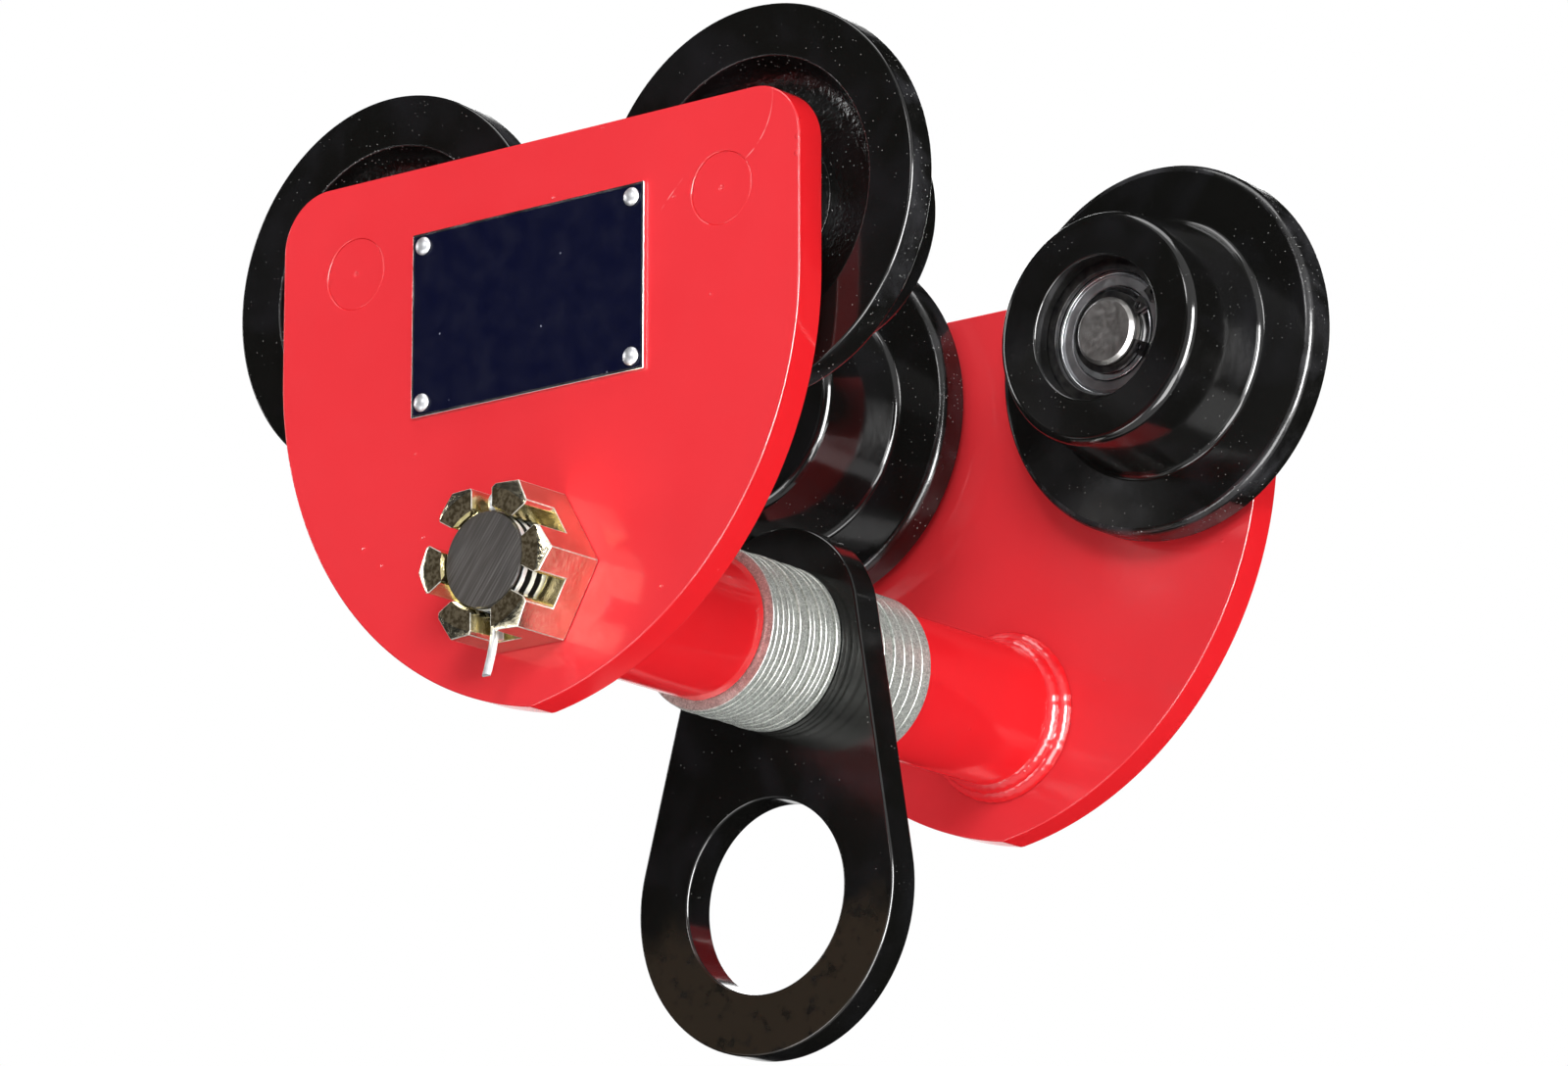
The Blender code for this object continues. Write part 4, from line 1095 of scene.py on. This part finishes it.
def make_nut(row, side):
    place = Vector((SHAFT.x, middle(f"nut_{row}").y, SHAFT.z))
    at = seat(place, side)
    half = NUT_HEIGHT / 2
    slope = math.tan(NUT_CHAMFER)
    wide = NUT_CORNER + 2 * MM
    fall = (wide - NUT_FACE) * slope
    narrow = NUT_FACE - 2 * MM / slope
    cone = [(0.0, half + 2 * MM, 0), (narrow, half + 2 * MM, 0), (wide, half - fall, 0)]
    under = -half - 0.2 * MM
    cone += [(wide, 0.8 * MM - half, 0), (NUT_CORNER - 1.2 * MM, under, 0), (0.0, under, 0)]
    nut = flat(f"slotted_nut_{row}", [circle(0.0, 0.0, NUT_CORNER, 6)], NUT_HEIGHT, at)
    cut(nut, turned("cone", cone, at, steps=48, closed=False), "INTERSECT")
    bore = [(0.0, half + MM, 0), (NUT_BORE + 1.8 * MM, half + MM, 0), (NUT_BORE, half - 0.8 * MM, 0)]
    for ridge in range(1, 5):
        foot = half - ridge * THREAD_PITCH
        bore += [(NUT_BORE, foot + 2.6 * MM, 0), (NUT_BORE + 1.1 * MM, foot + 2.0 * MM, 0)]
        bore += [(NUT_BORE + 1.1 * MM, foot + 1.2 * MM, 0), (NUT_BORE, foot + 0.6 * MM, 0)]
    bore += [(NUT_BORE, -half - MM, 0), (0.0, -half - MM, 0)]
    cut(nut, turned("bore", bore, at, steps=48, closed=False))
    for number in range(3):
        turn = Matrix.Rotation(math.pi / 2 + number * math.pi / 3, 4, "Z")
        lift = Matrix.Translation((0.0, 0.0, NUT_HEIGHT - SLOT_DEPTH))
        cut(nut, flat("slot", [slot_outline(wide)], NUT_HEIGHT, at @ turn @ lift))
    whole_faces(nut)
    nut.data = evaluated(nut)
    nut.modifiers.clear()
    break_edges(nut, NUT_EDGE, EDGES_FROM)
    fit(finished(nut, YELLOW_ZINC, WORN_EDGE), "frame", "yellow_zinc", f"nut_{row}")


make_nut("near", -1)
make_nut("far", 1)

# %% [markdown]
# ## Split pins
# A split pin is bent from half-round wire: both flat sides lie together in the hole, and the longer leg
# is bent aside so that the pin can't fall out. A round wire would be simpler, but the flat side is what
# makes two legs read as one pin. So a half-round section is carried along the pin's route.

# %% Sweep a half-round section along a route
PIN_LEG = 1.25 * MM
PIN_EYE = 2.9 * MM
PIN_HALF_ROUND = 1.35 * MM
PIN_LONG = 32.0 * MM
PIN_SHORT = 21.0 * MM
PIN_BEND = 3.4 * MM
PIN_STRAIGHT = 18.0 * MM
PIN_INSET = 6.0 * MM


def pin_route():
    """Up the long leg, round the eye and down the short leg, in the XY plane."""
    opening = math.acos(PIN_LEG / PIN_EYE)
    eye = SHAFT_RADIUS + GAP + PIN_EYE * math.sin(opening)
    route = []
    for i in range(9):
        share = 1.0 - i / 8
        route.append((PIN_LEG + PIN_BEND * share**1.5, -PIN_STRAIGHT - (PIN_LONG - PIN_STRAIGHT) * share))
    route += arc(0.0, eye, PIN_EYE, -opening, math.pi + opening, math.radians(12.0))
    return route + [(-PIN_LEG, -PIN_SHORT)]


def swept(name, route, section, matrix):
    """A closed section carried along a flat route. The section's first value points to the left."""
    points, faces = [], []
    count = len(section)
    for i, spot in enumerate(route):
        before, after = route[max(i - 1, 0)], route[min(i + 1, len(route) - 1)]
        ahead = (Vector(after) - Vector(before)).normalized()
        left = Vector((-ahead.y, ahead.x))
        points += [(spot[0] + left.x * u, spot[1] + left.y * u, v) for u, v in section]
        if i:
            start = (i - 1) * count
            for k in range(count):
                m = (k + 1) % count
                faces.append((start + k, start + m, start + count + m, start + count + k))
    faces.append(tuple(reversed(range(count))))
    faces.append(tuple(range(len(points) - count, len(points))))
    mesh = bpy.data.meshes.new(name)
    mesh.from_pydata(points, [], faces)
    mesh.transform(matrix)
    return new_piece(name, mesh)


HALF_ROUND = [
    (0.55 * MM - PIN_HALF_ROUND * math.sin(math.radians(a)), PIN_HALF_ROUND * math.cos(math.radians(a)))
    for a in range(0, 181, 15)
]

for row, side, slot_turn in (("near", -1, 0.0), ("far", 1, math.pi / 3)):
    place = Vector((SHAFT.x, side * (SHAFT_END - PIN_INSET), SHAFT.z))
    turn = Matrix.Rotation(side * math.pi / 2, 4, "Z") @ Matrix.Rotation(math.pi / 2 + slot_turn, 4, "X")
    pin = swept(f"bent_pin_{row}", pin_route(), HALF_ROUND, Matrix.Translation(place) @ turn)
    fit(finished(pin, BRIGHT_ZINC), "frame", "bright_zinc", f"split_pin_{row}")

# %% [markdown]
# ## Suspension plate
# The hoist's hook goes through the large hole of this 10 mm plate, which hangs on the shaft and swings.
# Its outline is a small circle round the shaft and a larger one round the hole, joined by straight
# sides that touch both. It hangs 3 degrees out of plumb, as it does in the photograph.

# %% The suspension plate
EYE_TOP = 28.8 * MM
EYE_TOP_RISE = 6.1 * MM
EYE_BOTTOM = 45.35 * MM
EYE_HOLE = 27.8 * MM
EYE_DROP = 71.0 * MM
EYE_SWING = math.radians(3.0)
EYE_ROUND = 0.8 * MM

lean = math.asin((EYE_BOTTOM - EYE_TOP) / (EYE_TOP_RISE + EYE_DROP))
outline = arc(0.0, EYE_TOP_RISE, EYE_TOP, lean, math.pi - lean)
outline += arc(0.0, -EYE_DROP, EYE_BOTTOM, math.pi - lean, 2 * math.pi + lean)
holes = [circle(0.0, 0.0, SHAFT_HOLE), circle(0.0, -EYE_DROP, EYE_HOLE, 128)]
low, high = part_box("suspension_plate")
swung = Matrix.Rotation(EYE_SWING, 4, "Y") @ Matrix.Rotation(math.pi / 2, 4, "X")
hanging = Matrix.Translation(SHAFT) @ swung
eye = flat("hook_plate", [outline, *holes], high.y - low.y, hanging, EYE_ROUND)
fit(finished(eye, PLATE_BLACK), "suspension_plate", "black_enamel", "suspension_plate")

# %% [markdown]
# ## Nameplate and rivets
# The nameplate is a thin aluminium sheet, printed dark blue up to a narrow bare edge. The print has no
# thickness to model, so the finish draws it: bare metal wherever a point is closer to the edge than the
# margin. Four dome-headed rivets hold it, set out by a node tree from one rivet, because they repeat
# exactly.


# %% Mix the printed sheet
def printed_sheet(name, centre, half_x, half_z, margin):
    material, tree, shader, where = recipe(name)
    away = split(tree, vec(tree, "ABSOLUTE", vec(tree, "SUBTRACT", where, tuple(centre))))
    past_x = calc(tree, "SUBTRACT", away[0], half_x - margin)
    past_z = calc(tree, "SUBTRACT", away[2], half_z - margin)
    edge = calc(tree, "MAXIMUM", past_x, past_z)
    edge = plus(tree, edge, noise(tree, where, 120.0, 2.0), 0.20 * MM)
    bare = calc(tree, "GREATER_THAN", edge, 0.10 * MM)
    dust = specks(tree, where, 300.0, 0.10, 0.10)
    ink = blend(tree, dust, (0.0032, 0.0042, 0.021), (0.30, 0.32, 0.40))
    colour = blend(tree, bare, ink, (0.88, 0.88, 0.89))
    roughness = rescale(tree, noise(tree, where, 150.0, 3.0), 0.3, 0.7, 0.16, 0.26)
    tree.links.new(bare, shader.inputs["Metallic"])
    dress(tree, shader, colour, roughness, bump(tree, noise(tree, where, 60.0, 2.0), 0.05 * MM))
    return material


low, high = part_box("nameplate")
SHEET = (low + high) / 2
SHEET_HALF = (high - low) / 2
PRINTED = printed_sheet("printed_sheet", SHEET, SHEET_HALF.x, SHEET_HALF.z, margin=0.75 * MM)
print("finish:", PRINTED.name)

# %% The nameplate
QUADRANTS = ((-1, -1), (1, -1), (1, 1), (-1, 1))
corners = [(sx * SHEET_HALF.x, sz * SHEET_HALF.z, 0.4 * MM, 0) for sx, sz in QUADRANTS]
sheet_loop = [(x, y) for x, y, _finish in softened(corners)]
sheet = flat("blank_nameplate", [sheet_loop], high.y - low.y, seat(SHEET, -1), 0.15 * MM)
fit(finished(sheet, PRINTED), "frame", "nameplate_blue", "nameplate")


# %% A node tree that sets out the rivets
def rivet_tree():
    inputs = {"Rivet": "Object", "Width": "Float", "Height": "Float", "Place": "Vector", "Finish": "Material"}
    tree, given = new_tree("rivet_pattern", inputs)
    grid = step(tree, "GeometryNodeMeshGrid", {0: given["Width"], 1: given["Height"], 2: 2, 3: 2})
    rivet = add(tree, "GeometryNodeObjectInfo", {"Object": given["Rivet"]}).outputs["Geometry"]
    four = step(tree, "GeometryNodeInstanceOnPoints", {"Points": grid, "Instance": rivet})
    real = step(tree, "GeometryNodeRealizeInstances", {0: four})
    move = {"Geometry": real, "Translation": given["Place"], "Rotation": (math.pi / 2, 0.0, 0.0)}
    placed = step(tree, "GeometryNodeTransform", move)
    coated = step(tree, "GeometryNodeSetMaterial", {"Geometry": placed, "Material": given["Finish"]})
    add(tree, "NodeGroupOutput", {0: coated})
    return tree


# %% The rivets
HEAD_RISE = 1.3 * MM
HEAD_RADIUS = 2.6 * MM
SHANK_RADIUS = 1.45 * MM

rivet_names = [f"rivet_{number}" for number in (1, 2, 3, 4)]
centres = [middle(name) for name in rivet_names]
low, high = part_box("rivet_1")
seat_height = -low.y - HEAD_RISE
foot = -(high.y + seat_height)
turns = [math.radians(a) for a in range(9, 91, 9)]
dome = [(0.0, HEAD_RISE, 0)]
dome += [(HEAD_RADIUS * math.sin(a), HEAD_RISE * math.cos(a), 0) for a in turns]
dome += [(SHANK_RADIUS, 0.0, 0), (SHANK_RADIUS, foot, 0), (0.0, foot, 0)]
one_rivet = turned("one_rivet", dome, Matrix.Identity(4), steps=40, closed=False)
spread_x = max(c.x for c in centres) - min(c.x for c in centres)
spread_z = max(c.z for c in centres) - min(c.z for c in centres)
values = {
    "Rivet": one_rivet,
    "Width": spread_x,
    "Height": spread_z,
    "Place": (sum(c.x for c in centres) / 4, -seat_height, sum(c.z for c in centres) / 4),
    "Finish": ALUMINIUM,
}
rivets = finished(grown("dome_rivets", rivet_tree(), values), ALUMINIUM)
bpy.data.objects.remove(one_rivet)
fit(rivets, "frame", "rivet_aluminium", *rivet_names)

# %% [markdown]
# ## The studio
# The trolley hangs well above a plain pale floor. Behind it all is pure white, so the world shows white
# to the camera and to reflections, and lights the object at a lower, plain level. Soft boxes give the
# shape: in front, at the right, at the left, overhead and behind. Others are seen in reflections only:
# two draw the bright lines on the rounded edges, and two the glints on the nuts and rough castings.
# Glossy black needs something dark to mirror, so a black card stands behind the camera, where only
# reflections see it.


# %% The floor and the black card
def plain(name, grey):
    material, _tree, shader, _where = recipe(name, specular=0.0)
    shader.inputs["Base Color"].default_value = (grey, grey, grey, 1.0)
    shader.inputs["Roughness"].default_value = 0.9
    return material


def sheet_of(name, size_x, size_y, matrix, material):
    corners = [(sx * size_x / 2, sy * size_y / 2, 0) for sx, sy in QUADRANTS]
    mesh = bpy.data.meshes.new(name)
    mesh.from_pydata(corners, [], [(0, 1, 2, 3)])
    mesh.transform(matrix)
    mesh.materials.append(material)
    piece = new_piece(name, mesh)
    return piece


PALE = plain("pale_floor", 0.86)
tree = PALE.node_tree
behind = add(tree, "ShaderNodeNewGeometry").outputs["Backfacing"]
clear = add(tree, "ShaderNodeBsdfTransparent").outputs[0]
painted = tree.nodes["Principled BSDF"].outputs[0]
one_sided = add(tree, "ShaderNodeMixShader", {0: behind, 1: painted, 2: clear})
tree.links.new(one_sided.outputs[0], tree.nodes["Material Output"].inputs[0])
FLOOR_Z = -0.75
floor = sheet_of("floor", 16.0, 16.0, Matrix.Translation((0.0, 0.0, FLOOR_Z)), PALE)
floor.visible_glossy = False


def toward(way):
    """The turn that points +Z that way."""
    return Vector(way).to_track_quat("Z", "Y").to_matrix().to_4x4()


def mirrored_only(piece):
    """Leaves the piece to mirrored rays."""
    for kind in ("camera", "diffuse", "shadow"):
        setattr(piece, f"visible_{kind}", False)


def screen(name, way, distance, inner, outer, material):
    """A black tent round a direction, open in the middle."""
    turns = [math.radians(a) for a in range(inner, outer + 1, 5)]
    profile = [(distance * math.sin(a), distance * math.cos(a), 0) for a in turns]
    piece = turned(name, profile, toward(way), steps=48, closed=False)
    piece.data.materials.append(material)
    mirrored_only(piece)


CARD = plain("black_card", 0.004)
screen("black_tent", (-0.600, 0.758, 0.256), 4.5, 20, 95, CARD)
card_way = Vector((-0.60, -0.76, 0.30)).normalized()
card_place = Matrix.Translation(card_way * 5.0) @ toward(card_way)
mirrored_only(sheet_of("black_card", 6.5, 5.0, card_place, CARD))
print("floor and card in place")


# %% The world and the soft boxes
TROLLEY_MIDDLE = Vector((0.0, 0.0, -0.04))


def soft_box(name, way, distance, width, height, watts, lights=True, mirrors=True):
    """A soft box in that direction from the trolley, turned to face it. It may only light the trolley,
    or only be mirrored in it."""
    lamp = bpy.data.lights.new(name, "AREA")
    lamp.shape = "RECTANGLE"
    lamp.size = width
    lamp.size_y = height
    lamp.energy = watts
    box = bpy.data.objects.new(name, lamp)
    box.location = TROLLEY_MIDDLE + Vector(way).normalized() * distance
    box.rotation_euler = toward(way).to_euler()
    box.visible_camera = False
    box.visible_diffuse = lights
    box.visible_glossy = mirrors
    bpy.context.scene.collection.objects.link(box)


soft_box("front_box", (0.58, -0.77, 0.30), 2.4, 1.0, 0.7, 28.0, mirrors=False)
soft_box("edge_box", (0.93, -0.34, -0.10), 2.6, 1.3, 2.2, 380.0, lights=False)
soft_box("low_edge_box", (0.60, -0.45, -0.66), 0.95, 0.6, 0.5, 12.0, lights=False)
soft_box("glint_box", (-0.10, -0.93, 0.35), 2.6, 0.5, 0.5, 14.0, lights=False)
soft_box("right_box", (0.90, 0.10, -0.42), 1.2, 0.6, 0.4, 4.3)
soft_box("low_left_box", (-0.30, -0.80, -0.50), 2.4, 1.0, 0.8, 18.0, lights=False)
soft_box("left_strip", (-0.90, -0.33, 0.26), 2.4, 0.35, 0.9, 12.0)
soft_box("top_box", (0.05, -0.25, 1.0), 2.2, 1.4, 1.0, 24.0)
soft_box("back_box", (-0.5, 0.85, 0.35), 2.6, 1.0, 0.8, 12.0)

world = bpy.data.worlds.new("studio")
bpy.context.scene.world = world
world.use_nodes = True
tree = world.node_tree
seen = add(tree, "ShaderNodeLightPath").outputs
mirrored = calc(tree, "MAXIMUM", seen["Is Glossy Ray"], seen["Is Transmission Ray"])
direct = calc(tree, "MAXIMUM", seen["Is Camera Ray"], mirrored)
level = rescale(tree, direct, 0.0, 1.0, 0.38, 1.0)
tree.links.new(level, tree.nodes["Background"].inputs["Strength"])
tree.nodes["Background"].inputs["Color"].default_value = (1.0, 1.0, 1.0, 1.0)
bpy.context.scene.view_settings.view_transform = "Standard"
